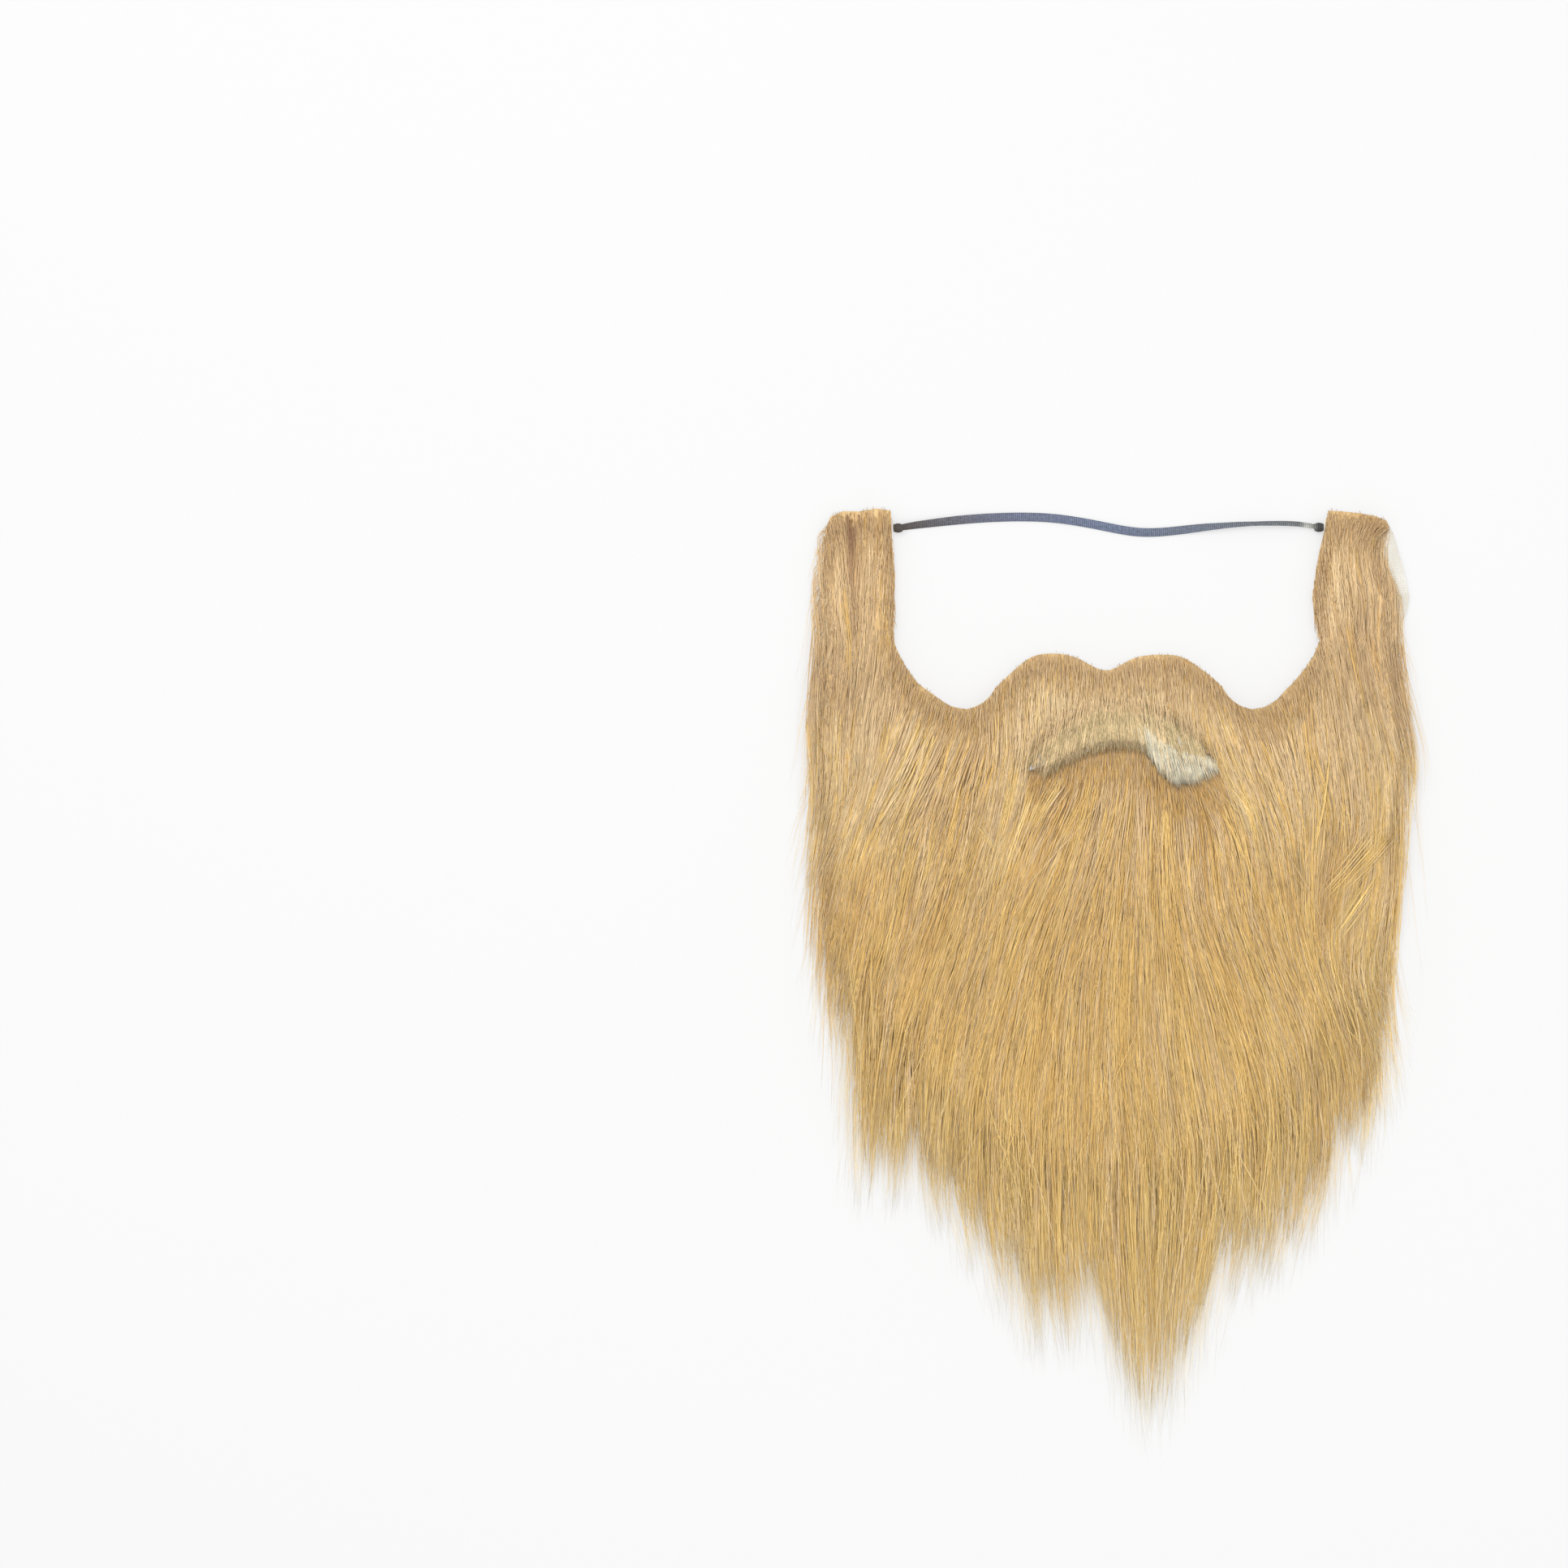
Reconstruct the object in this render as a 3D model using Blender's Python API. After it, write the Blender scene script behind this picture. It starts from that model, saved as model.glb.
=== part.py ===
"""A long full false beard, cut from one sheet of long-pile fur fabric, lying face up on a flat surface.

Metres. X runs across the face, Y up towards the sideburn tips and Z up from the surface. The origin is on the
underside of the backing cloth, in the middle of the upper lip. The pile lies combed towards the hem, where it
runs on past the cloth and ends in pointed locks that lie on the surface. An elastic joins the sideburns.
"""

import math
from collections import namedtuple

import bmesh
import bpy
from mathutils import Vector

# Outline sizes
FACE_GAP = 0.194  # between the inner edges of the sideburns
SIDEBURN_WIDTH = 0.040
SIDEBURN_RISE = 0.0844  # upper lip to sideburn tips
CHEEK_DIP = 0.0075  # upper lip down to the notches between moustache and cheeks
MOUSTACHE_RISE = 0.0195  # upper lip to the top of the two humps
BEARD_DROP = 0.336  # upper lip to the longest lock's tip
CLOTH_DROP = 0.215  # upper lip to the lowest point of the backing cloth

# Mouth slit, an arch a little to the wearer's left
MOUTH_WIDTH = 0.087
MOUTH_HEIGHT = 0.013
MOUTH_DROP = 0.0148  # upper lip to the slit's middle line, at its highest
MOUTH_ARCH = 0.0195  # how far the slit's ends hang below its middle
MOUTH_OFFSET = 0.006

# Cloth and pile
CLOTH_THICKNESS = 0.0015
SIDE_OVERHANG = 0.007  # hair outside the cloth's outer edges
EDGE_PILE = 0.003
SIDEBURN_PILE = 0.010
CHEEK_PILE = 0.014
CHIN_PILE = 0.021
EDGE_ROUNDING = 0.011  # distance in which the pile rises from the cloth's edge
LOCK_RELIEF = 0.0020
TIER_STEP = 0.0030  # how far a lock's tip stands over the one below it
TIP_THICKNESS = 0.0012
CLOTH_TIERS = 4  # rows of lock tips, root to hem

# Elastic and its knots
ELASTIC_WIDTH = 0.004
KNOT_LENGTH = 0.0046
KNOT_WIDTH = 0.0052
KNOT_WRAPS = 3

# Clearances and mesh fineness
CLEARANCE = 0.0003  # between faces that rest on each other
SEAM = 0.0006  # between neighbouring fields of pile
CLOTH_ROWS = 15
HANGING_ROWS = 6
SIDEBURN_COLUMNS = 9
SIDEBURN_STEPS = 15
MOUSTACHE_STEPS = 5
LOCK_COLUMN_WIDTH = 0.045  # share of half the beard's width
NOTCH_END = 0.97  # share of half the moustache's span at which its pile starts

PILE_BOTTOM = CLOTH_THICKNESS + CLEARANCE

# Places across the beard are stations: 1 is half the face gap from the middle, and 2 is a sideburn's width
# further out.
NOTCH_STATION = 0.69
CHEEK_STATION = 2.06

# Sideburn edges from the cheek notch up to the tip. Levels are shares of that height.
SideburnRow = namedtuple("SideburnRow", "level inner_left outer_left inner_right outer_right")
SIDEBURN_ROWS = [
    SideburnRow(0.00, NOTCH_STATION, CHEEK_STATION, NOTCH_STATION, CHEEK_STATION),
    SideburnRow(0.03, 0.73, 2.05, 0.74, 2.05),
    SideburnRow(0.11, 0.86, 2.03, 0.83, 2.04),
    SideburnRow(0.19, 0.93, 2.01, 0.90, 2.02),
    SideburnRow(0.28, 0.98, 1.98, 0.96, 2.00),
    SideburnRow(0.36, 1.03, 1.96, 0.99, 1.97),
    SideburnRow(0.52, 1.02, 1.95, 0.96, 1.95),
    SideburnRow(0.68, 1.02, 1.89, 0.97, 1.86),
    SideburnRow(0.84, 1.04, 1.83, 1.00, 1.77),
    SideburnRow(0.92, 1.05, 1.78, 1.04, 1.76),
    SideburnRow(1.00, 1.06, 1.72, 1.07, 1.71),
]

# Top edge of the moustache, left notch to right notch. Shares of half its span and of its rise.
MoustachePoint = namedtuple("MoustachePoint", "across height")
MOUSTACHE_TOP = [
    MoustachePoint(-1.00, -0.38),
    MoustachePoint(-0.93, -0.20),
    MoustachePoint(-0.79, 0.15),
    MoustachePoint(-0.67, 0.53),
    MoustachePoint(-0.53, 0.91),
    MoustachePoint(-0.38, 1.00),
    MoustachePoint(-0.23, 0.91),
    MoustachePoint(-0.02, 0.60),
    MoustachePoint(0.18, 0.90),
    MoustachePoint(0.35, 0.97),
    MoustachePoint(0.50, 0.91),
    MoustachePoint(0.67, 0.53),
    MoustachePoint(0.80, 0.15),
    MoustachePoint(0.93, -0.20),
    MoustachePoint(1.00, -0.38),
]

# Sides of the combed hair below the cheeks, as stations. Levels are shares of the beard's drop.
SideRow = namedtuple("SideRow", "level station")
BEARD_SIDES = [
    SideRow(0.00, CHEEK_STATION),
    SideRow(0.10, 2.11),
    SideRow(0.19, 1.99),
    SideRow(0.30, 1.90),
    SideRow(0.45, 1.81),
    SideRow(0.60, 1.76),
    SideRow(0.80, 1.67),
    SideRow(1.00, 1.62),
]

# Locks along the hem, left to right, each with the valley on its right. Across is a share of the half width
# at that level, and levels are shares of the beard's drop. A point under 1 makes a blunt lock, over 1 a sharp one.
# The first and last locks hang from the cloth's side edges.
HemLock = namedtuple("HemLock", "tip tip_level point valley valley_level")
HemColumn = namedtuple("HemColumn", "share hem ridge lock")
SIDE_HEM_LEVEL = 0.33
HEM_LOCKS = [
    HemLock(-1.000, 0.476, 1.2, -0.920, 0.446),
    HemLock(-0.892, 0.690, 1.1, -0.826, 0.655),
    HemLock(-0.773, 0.690, 1.2, -0.700, 0.637),
    HemLock(-0.608, 0.726, 1.3, -0.560, 0.693),
    HemLock(-0.507, 0.780, 1.3, -0.457, 0.744),
    HemLock(-0.397, 0.836, 1.1, -0.347, 0.810),
    HemLock(-0.268, 0.896, 1.3, -0.219, 0.848),
    HemLock(-0.154, 0.887, 1.0, -0.040, 0.826),
    HemLock(0.148, 1.000, 0.7, 0.395, 0.777),
    HemLock(0.460, 0.807, 1.3, 0.507, 0.765),
    HemLock(0.580, 0.780, 1.2, 0.625, 0.732),
    HemLock(0.680, 0.747, 1.3, 0.726, 0.693),
    HemLock(0.782, 0.680, 1.3, 0.820, 0.604),
    HemLock(0.876, 0.616, 1.2, 0.915, 0.580),
    HemLock(1.000, 0.550, 1.2, 1.000, SIDE_HEM_LEVEL),
]

# The cloth's hem: how much of its drop it has lost at the sides, and how sharply it turns up there
CLOTH_SIDE_LOSS = 0.57
CLOTH_HEM_POWER = 2.4
CLOTH_SIDE = 1 - SIDE_OVERHANG / (FACE_GAP / 2 + SIDEBURN_WIDTH)

# Pile depth by height on the face. Levels are shares of the beard's drop, and above the lip of the sideburn's rise.
PileRow = namedtuple("PileRow", "level depth")
PILE_ROWS = [
    PileRow(-1.00, SIDEBURN_PILE * 0.8),
    PileRow(-0.40, SIDEBURN_PILE),
    PileRow(0.02, CHEEK_PILE),
    PileRow(0.25, CHIN_PILE * 0.92),
    PileRow(0.45, CHIN_PILE),
    PileRow(1.00, CHIN_PILE * 0.9),
]

# The elastic's route from the left knot to the right one, as it lies on the surface
ELASTIC_ROUTE = [
    (-0.0935, 0.0770),
    (-0.0903, 0.0777),
    (-0.0836, 0.0785),
    (-0.0770, 0.0793),
    (-0.0703, 0.0801),
    (-0.0636, 0.0807),
    (-0.0570, 0.0812),
    (-0.0503, 0.0815),
    (-0.0437, 0.0817),
    (-0.0370, 0.0817),
    (-0.0303, 0.0815),
    (-0.0237, 0.0810),
    (-0.0170, 0.0801),
    (-0.0104, 0.0790),
    (-0.0037, 0.0777),
    (0.0030, 0.0763),
    (0.0096, 0.0751),
    (0.0163, 0.0745),
    (0.0229, 0.0747),
    (0.0296, 0.0753),
    (0.0363, 0.0761),
    (0.0429, 0.0769),
    (0.0496, 0.0775),
    (0.0562, 0.0781),
    (0.0629, 0.0785),
    (0.0696, 0.0787),
    (0.0762, 0.0788),
    (0.0829, 0.0787),
    (0.0895, 0.0782),
    (0.0930, 0.0774),
]
ELASTIC_POINTS = 64
ELASTIC_EXITS = {"left": 0.0766, "right": 0.0769}  # height on the sideburns at which it is tied


def blend(table, at):
    """The second column of a two-column table at a value of its first, along a smooth curve through the rows."""
    last = len(table) - 1
    if at <= table[0][0]:
        return table[0][1]
    if at >= table[last][0]:
        return table[last][1]
    row = max(i for i in range(last) if table[i][0] <= at)
    (x0, y0), (x1, y1) = table[row][:2], table[row + 1][:2]
    span = x1 - x0

    def slope(i):
        before, after = table[max(i - 1, 0)], table[min(i + 1, last)]
        return (after[1] - before[1]) / (after[0] - before[0])

    t = (at - x0) / span
    rise = (y1 - y0) * t * t * (3 - 2 * t)
    return y0 + rise + span * t * (1 - t) * (slope(row) * (1 - t) - slope(row + 1) * t)


def across(station):
    """X of a sideburn station, on the side that its sign says."""
    reach = min(abs(station), 1) * FACE_GAP / 2 + max(abs(station) - 1, 0) * SIDEBURN_WIDTH
    return math.copysign(reach, station)


def sideburn_edge(edge, side, level):
    """X of a sideburn's inner or outer edge at a level. side is left or right."""
    rows = [(row.level, getattr(row, f"{edge}_{side}")) for row in SIDEBURN_ROWS]
    return across(blend(rows, level) * (-1 if side == "left" else 1))


def sideburn_height(level):
    return level * (SIDEBURN_RISE + CHEEK_DIP) - CHEEK_DIP


def moustache_top(share):
    return blend(MOUSTACHE_TOP, share) * MOUSTACHE_RISE


def notch(share=1.0):
    """X of a share of the way from the middle to the notch between moustache and cheek."""
    return share * across(NOTCH_STATION)


def mouth_half_height(x):
    """Half the slit's height at x, and None outside the slit."""
    share = (x - MOUTH_OFFSET) / (MOUTH_WIDTH / 2)
    return None if abs(share) >= 1 else MOUTH_HEIGHT / 2 * (1 - share**4)


def mouth_middle(x):
    share = min(1.0, abs(x - MOUTH_OFFSET) / (MOUTH_WIDTH / 2))
    return -MOUTH_DROP - MOUTH_ARCH * share**2


def lip_line(x):
    """Y of the beard's top edge: notch to mouth corner, along the slit's lower edge, and up to the other notch."""
    half = mouth_half_height(x)
    if half is not None:
        return mouth_middle(x) - half - SEAM
    side = math.copysign(1, x - MOUTH_OFFSET)
    corner = MOUTH_OFFSET + side * MOUTH_WIDTH / 2
    share = min(1.0, (x - corner) / (notch(side) - corner))
    return mouth_middle(corner) * (1 - share) - CHEEK_DIP * share - SEAM


def half_width(level):
    return across(blend(BEARD_SIDES, level))


def beard_point(share, level):
    return share * half_width(level), -level * BEARD_DROP


def beard_top_level(share):
    """The level at which the beard's pile starts on one of its columns."""
    level = CHEEK_DIP / BEARD_DROP
    for _ in range(6):
        level = -lip_line(share * half_width(level)) / BEARD_DROP
    return level


def cloth_hem_level(share):
    return CLOTH_DROP / BEARD_DROP * (1 - CLOTH_SIDE_LOSS * abs(share) ** CLOTH_HEM_POWER)


def spread(start, end, steps):
    return [start + (end - start) * i / steps for i in range(steps + 1)]


def cloth_side(side, level):
    """X of the cloth's outer edge on a sideburn."""
    outer = sideburn_edge("outer", side, level)
    return outer - math.copysign(SIDE_OVERHANG, outer)


def mouth_outline(steps=18):
    """The slit in the cloth, anticlockwise."""
    reach = MOUTH_WIDTH / 2
    angles = spread(0, math.pi, steps)
    upper = [MOUTH_OFFSET + reach * math.cos(a) for a in angles]
    edge = [(x, mouth_middle(x) + (mouth_half_height(x) or 0)) for x in upper]
    edge += [(x, mouth_middle(x) - (mouth_half_height(x) or 0)) for x in reversed(upper[1:-1])]
    return edge


def cloth_free_edge():
    """The cloth's outline from the lower end of its left side over both sideburns and the moustache to the right."""
    levels = spread(0, 1, 14)
    points = []
    for share in (-CLOTH_SIDE, CLOTH_SIDE):
        side = "left" if share < 0 else "right"
        low, high = cloth_hem_level(share), CHEEK_DIP / BEARD_DROP
        jaw = [beard_point(share, level) for level in spread(low, high, 6)[:-1]]
        outer = [(cloth_side(side, level), sideburn_height(level)) for level in levels]
        inner = [(sideburn_edge("inner", side, level), sideburn_height(level)) for level in levels]
        if side == "left":
            points += jaw + outer + inner[::-1][:-1]
            points += [(notch(share), moustache_top(share)) for share in spread(-NOTCH_END, NOTCH_END, 40)]
        else:
            points += inner[1:] + outer[::-1] + jaw[::-1]
    return points


def cloth_hem():
    """The cloth's lower edge, right to left, without the corners that it shares with the free edge."""
    return [beard_point(share, cloth_hem_level(share)) for share in spread(CLOTH_SIDE, -CLOTH_SIDE, 36)[1:-1]]


def distance_to(points, closed, x, y):
    """Distance from (x, y) to a polyline."""
    best = math.inf
    for i in range(len(points) - (0 if closed else 1)):
        (ax, ay), (bx, by) = points[i], points[(i + 1) % len(points)]
        dx, dy = bx - ax, by - ay
        t = min(1.0, max(0.0, ((x - ax) * dx + (y - ay) * dy) / (dx * dx + dy * dy)))
        best = min(best, math.hypot(x - ax - dx * t, y - ay - dy * t))
    return best


def tier_wave(along, stagger):
    """0 to 1 along each tier of locks, dropping back at its tips."""
    place = along * CLOTH_TIERS + stagger
    return place - math.floor(place)


class Pile:
    """Depth of the combed pile over the cloth, rounded off towards the cloth's edges and the mouth."""

    def __init__(self):
        self.free_edge = cloth_free_edge()
        self.mouth = mouth_outline()

    def depth(self, x, y):
        level = -y / BEARD_DROP if y < 0 else -y / SIDEBURN_RISE
        full = blend(PILE_ROWS, level)
        inset = min(distance_to(self.free_edge, False, x, y), distance_to(self.mouth, True, x, y))
        return EDGE_PILE + (full - EDGE_PILE) * (1 - math.exp(-inset / EDGE_ROUNDING))

    def relief(self, depth, ridge, along, stagger):
        """Height of the locks on the pile: ridge is 1 on a lock's middle and 0 between locks."""
        room = min(1.0, (depth - EDGE_PILE) / (SIDEBURN_PILE - EDGE_PILE))
        return room * (LOCK_RELIEF * (2 * ridge - 1) + TIER_STEP * (tier_wave(along, stagger) - 0.5))


def material(name, colour, roughness, metallic=0.0):
    """A Principled BSDF with a plain colour."""
    made = bpy.data.materials.new(name)
    made.use_nodes = True
    shader = made.node_tree.nodes["Principled BSDF"]
    shader.inputs["Base Color"].default_value = (*colour, 1)
    shader.inputs["Roughness"].default_value = roughness
    shader.inputs["Metallic"].default_value = metallic
    made.diffuse_color = (*colour, 1)
    return made


def add_object(name, mesh, finish, smooth=True):
    bm = bmesh.new()
    bm.from_mesh(mesh)
    bmesh.ops.recalc_face_normals(bm, faces=bm.faces)
    bm.to_mesh(mesh)
    bm.free()
    if smooth:
        mesh.shade_smooth()
        mesh.set_sharp_from_angle(angle=math.radians(50))
    made = bpy.data.objects.new(name, mesh)
    made.data.materials.append(finish)
    bpy.context.scene.collection.objects.link(made)
    return made


def closed_sheet(name, columns, finish):
    """One body between two grids. A column is a list of (x, y, bottom z, top z), and neighbours have equal lengths."""
    rows = len(columns[0])
    last_column, last_row = len(columns) - 1, rows - 1
    top = [(x, y, high) for column in columns for x, y, low, high in column]
    bottom = [(x, y, low) for column in columns for x, y, low, high in column]
    below = len(top)
    faces = []
    for c in range(last_column):
        for r in range(last_row):
            a, b = c * rows + r, (c + 1) * rows + r
            faces.append((a, a + 1, b + 1, b))
            faces.append((a + below, b + below, b + 1 + below, a + 1 + below))
    rim = [c * rows for c in range(last_column)]
    rim += [last_column * rows + r for r in range(last_row)]
    rim += [c * rows + last_row for c in range(last_column, 0, -1)]
    rim += list(range(last_row, 0, -1))
    for i, a in enumerate(rim):
        b = rim[(i + 1) % len(rim)]
        faces.append((a, b, b + below, a + below))
    mesh = bpy.data.meshes.new(name)
    mesh.from_pydata(top + bottom, [], faces)
    return add_object(name, mesh, finish)


def sideburn_fur(side, pile, finish):
    """The pile of one sideburn and its cheek, with hair over the cloth's outer edge down to the surface."""
    sign = -1 if side == "left" else 1
    levels = spread(0, 1, SIDEBURN_STEPS)
    columns = []
    for c in range(SIDEBURN_COLUMNS + 1):
        column = []
        for level in levels:
            inner = sideburn_edge("inner", side, level)
            outer = sideburn_edge("outer", side, level)
            inside = cloth_side(side, level) + sign * 2 * CLEARANCE
            hanging = c == SIDEBURN_COLUMNS
            x = outer if hanging else inner + (inside - inner) * c / (SIDEBURN_COLUMNS - 1)
            y = sideburn_height(level)
            depth = pile.depth(x, y)
            bottom = 0.0 if hanging else PILE_BOTTOM
            ridge = c % 2
            lift = 0.0 if hanging else pile.relief(depth, ridge, 1 - level, c // 2 % 2 / 2)
            column.append((x, y, bottom, bottom + depth + lift))
        columns.append(column)
    return closed_sheet(f"sideburn_fur_{side}", columns, finish)


def moustache_feet():
    """The moustache's lower edge, over the beard's own top corners and halfway between them."""
    reach = notch(NOTCH_END)
    corners = [beard_point(column.share, beard_top_level(column.share)) for column in hem_columns()]
    feet = []
    for (ax, ay), (bx, by) in zip(corners, corners[1:]):
        feet += [(ax, ay), ((ax + bx) / 2, (ay + by) / 2)]
    feet = [(x, y + SEAM) for x, y in feet if abs(x) < reach]
    return [(x, y + 2 * (mouth_half_height(x) or 0)) for x, y in feet]


def moustache_fur(pile, finish):
    """The pile between the moustache's top edge and the mouth."""
    columns = []
    for c, (x, low) in enumerate(moustache_feet()):
        high = moustache_top(x / notch())
        column = []
        for along in spread(0, 1, MOUSTACHE_STEPS):
            y = high + (low - high) * along
            depth = pile.depth(x, y)
            lift = pile.relief(depth, c % 2, along / 2, 0.0)
            column.append((x, y, PILE_BOTTOM, PILE_BOTTOM + depth + lift))
        columns.append(column)
    return closed_sheet("moustache_fur", columns, finish)


def hem_columns():
    """The beard's columns from side to side. Only the two outermost lie outside the cloth."""
    made = [HemColumn(-1.0, SIDE_HEM_LEVEL, 0.0, 0)]
    valley, valley_level = -1.0, SIDE_HEM_LEVEL
    for number, lock in enumerate(HEM_LOCKS):
        tip = max(-CLOTH_SIDE, min(CLOTH_SIDE, lock.tip))
        for start, end, level, falling in (
            (valley, tip, valley_level, False),
            (tip, lock.valley, lock.valley_level, True),
        ):
            outside = max(abs(start), abs(end)) == 1.0
            steps = 1 if outside else max(2, 2 * round((end - start) / LOCK_COLUMN_WIDTH / 2))
            for i in range(1, steps + 1):
                rise = 1 - i / steps if falling else i / steps
                hem = level + (lock.tip_level - level) * rise**lock.point
                ridge = rise if steps <= 2 else float(i % 2)
                made.append(HemColumn(start + (end - start) * i / steps, hem, ridge, number))
        valley, valley_level = lock.valley, lock.valley_level
    return made


def beard_fur(pile, finish):
    """The pile below the mouth and cheeks. It runs past the cloth's hem and ends in locks on the surface."""
    columns = []
    for share, hem, ridge, number in hem_columns():
        hanging_side = abs(share) == 1.0
        start, edge = beard_top_level(share), cloth_hem_level(share)
        edge += 2 * CLEARANCE / BEARD_DROP
        stagger = number % 2 / 2
        column = []
        for level in spread(start, edge, CLOTH_ROWS):
            x, y = beard_point(share, level)
            depth = pile.depth(x, y)
            bottom = 0.0 if hanging_side else PILE_BOTTOM
            along = (level - start) / (hem - start)
            lift = 0.0 if hanging_side else pile.relief(depth, ridge, along, stagger)
            column.append((x, y, bottom, bottom + depth + lift))
        for step in range(1, HANGING_ROWS + 1):
            left = 1 - step / HANGING_ROWS
            level = hem - (hem - edge) * left
            x, y = beard_point(share, level)
            along = (level - start) / (hem - start)
            lift = pile.relief(depth, ridge, along, stagger) * left
            body = TIP_THICKNESS + (depth + PILE_BOTTOM - TIP_THICKNESS) * left**0.8
            column.append((x, y, 0.0, body + lift))
        columns.append(column)
    return closed_sheet("beard_fur", columns, finish)


def backing_cloth(finish):
    """The flat knitted ground of the fur fabric, with the mouth slit cut through."""
    bm = bmesh.new()
    edges = []
    for outline in (cloth_free_edge() + cloth_hem(), mouth_outline()):
        corners = [bm.verts.new((x, y, 0)) for x, y in outline]
        edges += [bm.edges.new((a, b)) for a, b in zip(corners, corners[1:] + corners[:1])]
    bmesh.ops.triangle_fill(bm, use_beauty=True, edges=edges)
    grown = bmesh.ops.extrude_face_region(bm, geom=bm.faces[:])
    raised = [item for item in grown["geom"] if isinstance(item, bmesh.types.BMVert)]
    bmesh.ops.translate(bm, verts=raised, vec=(0, 0, CLOTH_THICKNESS))
    mesh = bpy.data.meshes.new("backing_cloth")
    bm.to_mesh(mesh)
    bm.free()
    return add_object("backing_cloth", mesh, finish)


def smooth_route(points, count):
    """Points read at even steps from a smooth curve through the route's own points."""
    places = [0.0]
    for (ax, ay), (bx, by) in zip(points, points[1:]):
        places.append(places[-1] + math.hypot(bx - ax, by - ay))
    xs = [(place, x) for place, (x, _) in zip(places, points)]
    ys = [(place, y) for place, (_, y) in zip(places, points)]
    return [(blend(xs, at), blend(ys, at)) for at in spread(0, places[-1], count - 1)]


def elastic_cord(finish):
    """The elastic between the sideburns, as a tube of its full width."""
    curve = bpy.data.curves.new("elastic_cord", "CURVE")
    curve.dimensions = "3D"
    curve.bevel_depth = ELASTIC_WIDTH / 2
    curve.bevel_resolution = 2
    curve.use_fill_caps = True
    route = smooth_route(ELASTIC_ROUTE, ELASTIC_POINTS)
    spline = curve.splines.new("POLY")
    spline.points.add(len(route) - 1)
    for point, (x, y) in zip(spline.points, route):
        point.co = (x, y, ELASTIC_WIDTH / 2, 1)
    curve.materials.append(finish)
    made = bpy.data.objects.new("elastic_cord", curve)
    bpy.context.scene.collection.objects.link(made)
    return made


def cord_knot(side, finish):
    """The elastic's end, wrapped and knotted through the sideburn's inner edge, as one turned barrel."""
    level = (ELASTIC_EXITS[side] + CHEEK_DIP) / (SIDEBURN_RISE + CHEEK_DIP)
    edge = sideburn_edge("inner", side, level)
    inward = 1 if side == "left" else -1
    clear = edge + inward * 2 * CLEARANCE
    sides, rings = 10, 3 * KNOT_WRAPS + 1
    bm = bmesh.new()
    loops = []
    for ring in range(rings):
        along = ring / (rings - 1)
        wrap = 0.86 + 0.14 * abs(math.sin(math.pi * KNOT_WRAPS * along))
        end = 0.8 if ring in (0, rings - 1) else 1.0
        radius = KNOT_WIDTH / 2 * wrap * end
        turn = [2 * math.pi * (i + 0.5) / sides for i in range(sides)]
        loops.append(
            [bm.verts.new((along * KNOT_LENGTH, radius * math.cos(a), radius * math.sin(a))) for a in turn]
        )
    for near, far in zip(loops, loops[1:]):
        for i in range(sides):
            j = (i + 1) % sides
            bm.faces.new((near[i], near[j], far[j], far[i]))
    bm.faces.new(loops[0])
    bm.faces.new(loops[-1])
    mesh = bpy.data.meshes.new(f"cord_knot_{side}")
    bm.to_mesh(mesh)
    bm.free()
    made = add_object(f"cord_knot_{side}", mesh, finish)
    made.location = Vector((clear, ELASTIC_EXITS[side], KNOT_WIDTH / 2))
    made.rotation_euler = (0, 0, 0 if inward > 0 else math.pi)
    return made


def build():
    """The whole beard, from an empty scene."""
    for old in list(bpy.data.objects):
        bpy.data.objects.remove(old)
    fur = material("blond_fur", (0.60, 0.40, 0.17), 0.6)
    cloth = material("backing_cloth", (0.80, 0.76, 0.68), 0.9)
    elastic = material("elastic", (0.16, 0.19, 0.26), 0.75)
    pile = Pile()
    backing_cloth(cloth)
    for side in ("left", "right"):
        sideburn_fur(side, pile, fur)
        cord_knot(side, elastic)
    moustache_fur(pile, fur)
    beard_fur(pile, fur)
    elastic_cord(elastic)


build()
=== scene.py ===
"""Looks of the false beard: combed pile over a knitted cloth, and the flat elastic between the sideburns.

Metres, in the frame's own axes. Hairs are rooted on the cloth, combed along a field of leans, drawn into
wisps, and laid between the cloth and the top of the pile that the frame's solids give.
"""

import math
from collections import namedtuple

import bmesh
import bpy
import numpy as np
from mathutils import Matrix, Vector
from mathutils.bvhtree import BVHTree
from mathutils.kdtree import KDTree


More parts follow.
